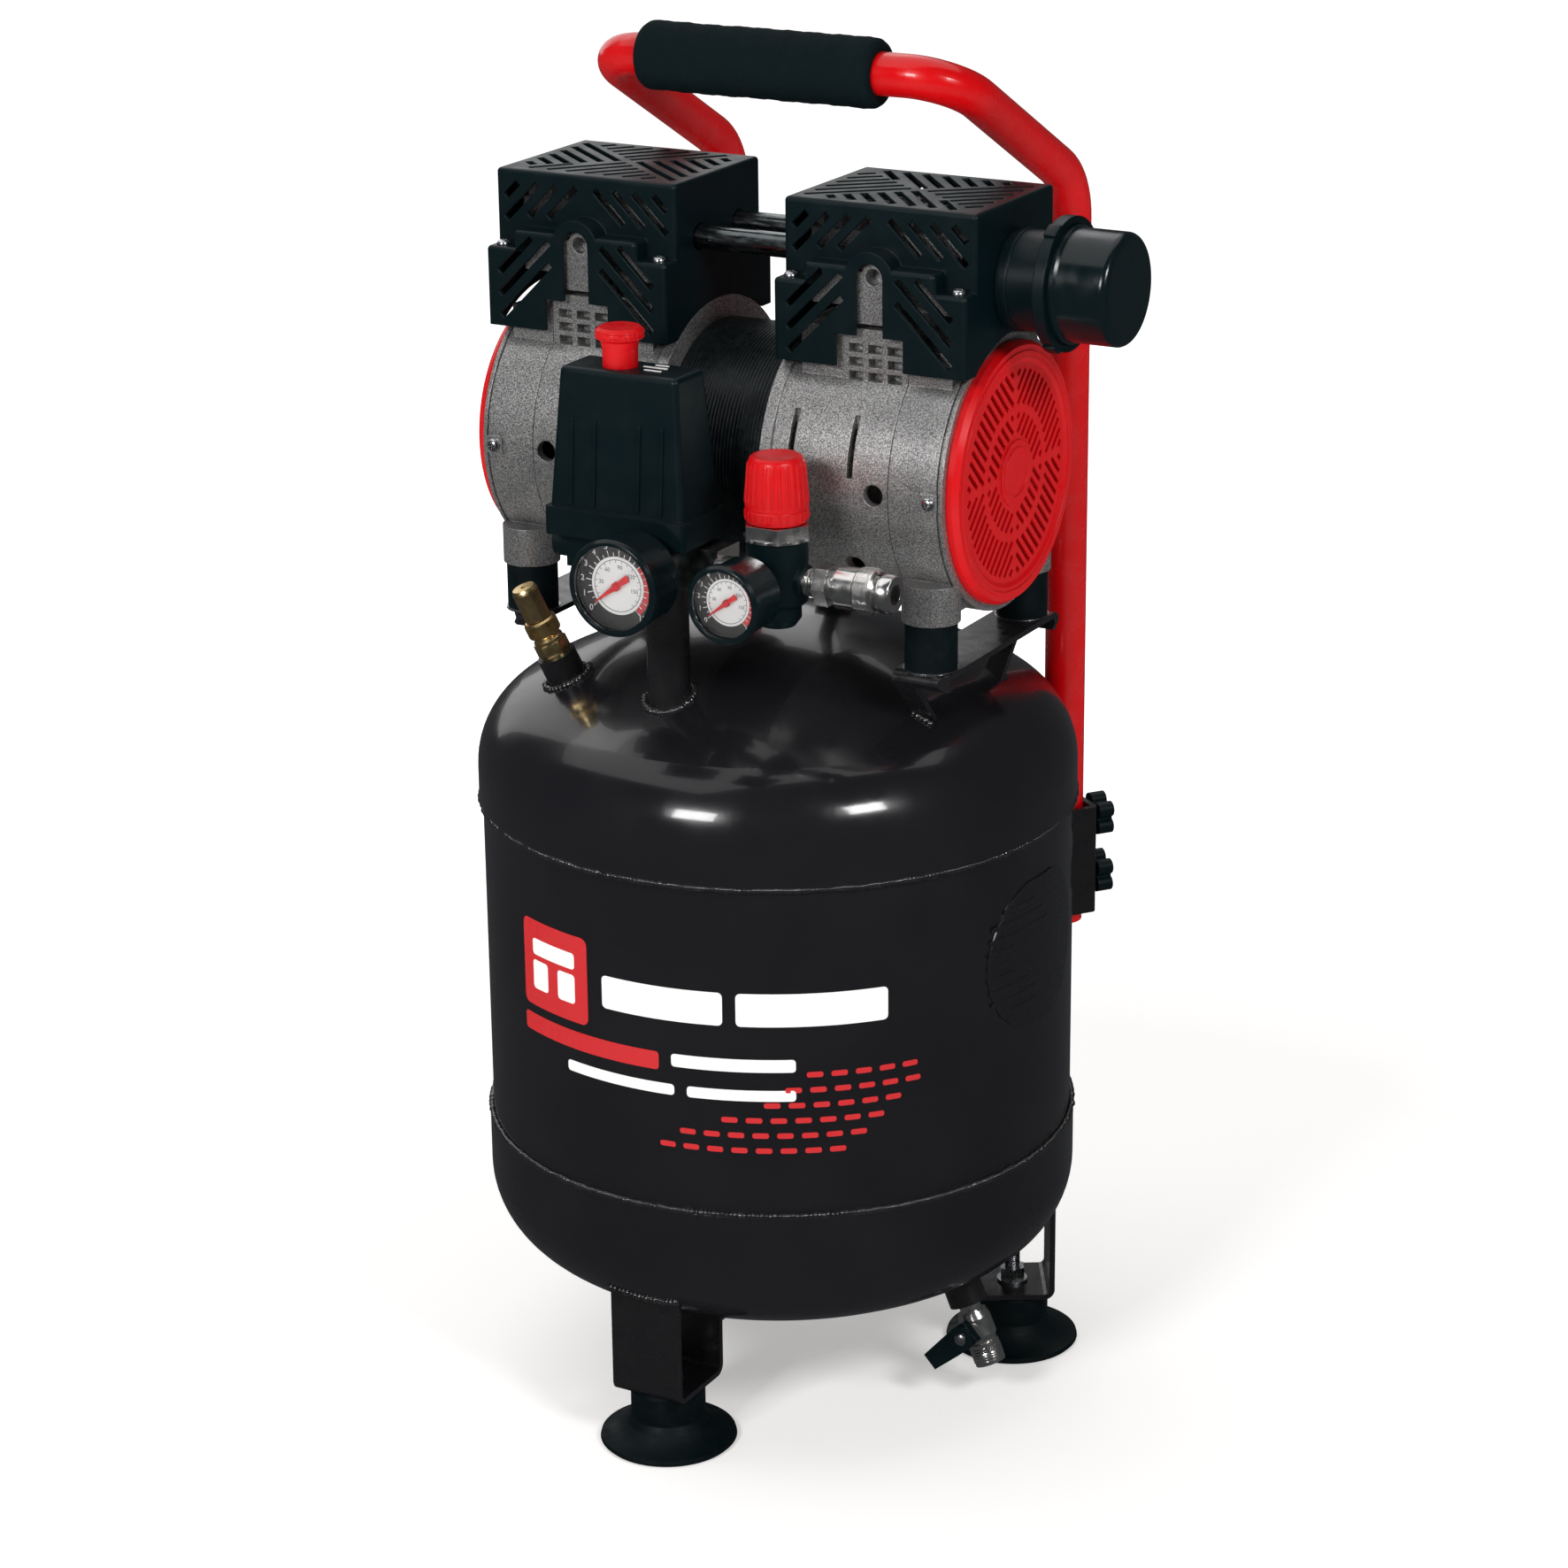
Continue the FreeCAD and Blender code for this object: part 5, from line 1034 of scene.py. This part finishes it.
def laminations():
    """Fine steel sheets of the stator seen between the two crankcases."""
    profile = [(61.0, -30.5)]
    for step in range(31):
        low_edge = -30.5 + step * 2
        profile += [(61.9, low_edge + 0.2), (62.35, low_edge + 0.55), (62.35, low_edge + 1.35),
                    (61.9, low_edge + 1.7)]
    profile.append((61.0, 31.2))
    piece("lamination_ridges", lathe(profile, 120), "stack", matrix=facing(spot(0, 0, MOTOR_Z), X))


def switch_details():
    """Raised ribs and a vent mark on the switch cover, and grooves on its pull knob."""
    lean = math.atan2(5, 72)
    ribs = [moved(slab(round_box(1.6, 44, 0.7), -0.3, 0.9), shift(-61.5 + 78 * share, 24.4))
            for share in (0.17, 0.34, 0.67, 0.84)]
    face = facing(spot(0, -123.0, 508.4), Vector((0, -math.cos(lean), math.sin(lean))))
    piece("switch_cover_ribs", joined(ribs), "satin", matrix=face)
    marks = [moved(slab(round_box(width, 1.6, 0.7), -0.1, 0.25), shift(x, y))
             for width, x, y in ((14, 12, 3), (10, 14, -3), (8, 13, 8))]
    piece("switch_top_marks", joined(marks), "white_ink", matrix=facing(spot(-22.5, -104, 580), Z, up=Y))
    groove = lathe([(12.0, 15.4), (12.25, 15.8), (12.25, 17.4), (12.0, 17.8)], 72)
    ribs = around(slab([(11.8, -0.4), (12.35, -0.2), (12.35, 0.2), (11.8, 0.4)], 14.6, 18.4), "red", 30)
    piece("switch_knob_grip", joined([groove, ribs]), "red", body="switch_knob",
          matrix=Matrix.Translation(spot(-29, -104, 580)))


def filter_details():
    """The ring on the intake filter's neck and the lugs of its quarter-turn collar."""
    along_x = facing(spot(0, 0, 620), X)
    lug = slab(sector(33.5, 35.2, -7, 7, 8), 163.5, 170.2)
    piece("filter_collar_lugs", around(eased(lug, 0.4), "satin", 3), "satin", matrix=along_x)
    ring = lathe([(25.2, 143), (25.9, 143.4), (25.9, 145.4), (25.2, 145.8)], 96)
    piece("filter_neck_ring", ring, "satin", matrix=along_x)


def guard_details():
    """The raised rim line and hub ring on each fan guard."""
    for side, name in SIDES:
        out = facing(spot(side * 140.5, 0, MOTOR_Z), X * side)
        ring = lathe([(60.2, -0.2), (60.6, 0.5), (62.2, 0.5), (62.6, -0.2)], 120)
        hub = lathe([(11.6, -0.6), (12, 0.1), (13.4, 0.1), (13.8, -0.6)], 72)
        piece(f"guard_rings_{name}", joined([ring, hub]), "red", matrix=out)


def pieces():
    welds()
    markings()
    gauge("large", -3.4, 24.9)
    gauge("small", 59.2, 20)
    regulator_knob()
    coupler()
    valves()
    foam_grip()
    cover_screws()
    stud_threads()
    laminations()
    switch_details()
    filter_details()
    guard_details()


# ---- the whole ----

camera()
studio()
dress_parts()
pieces()
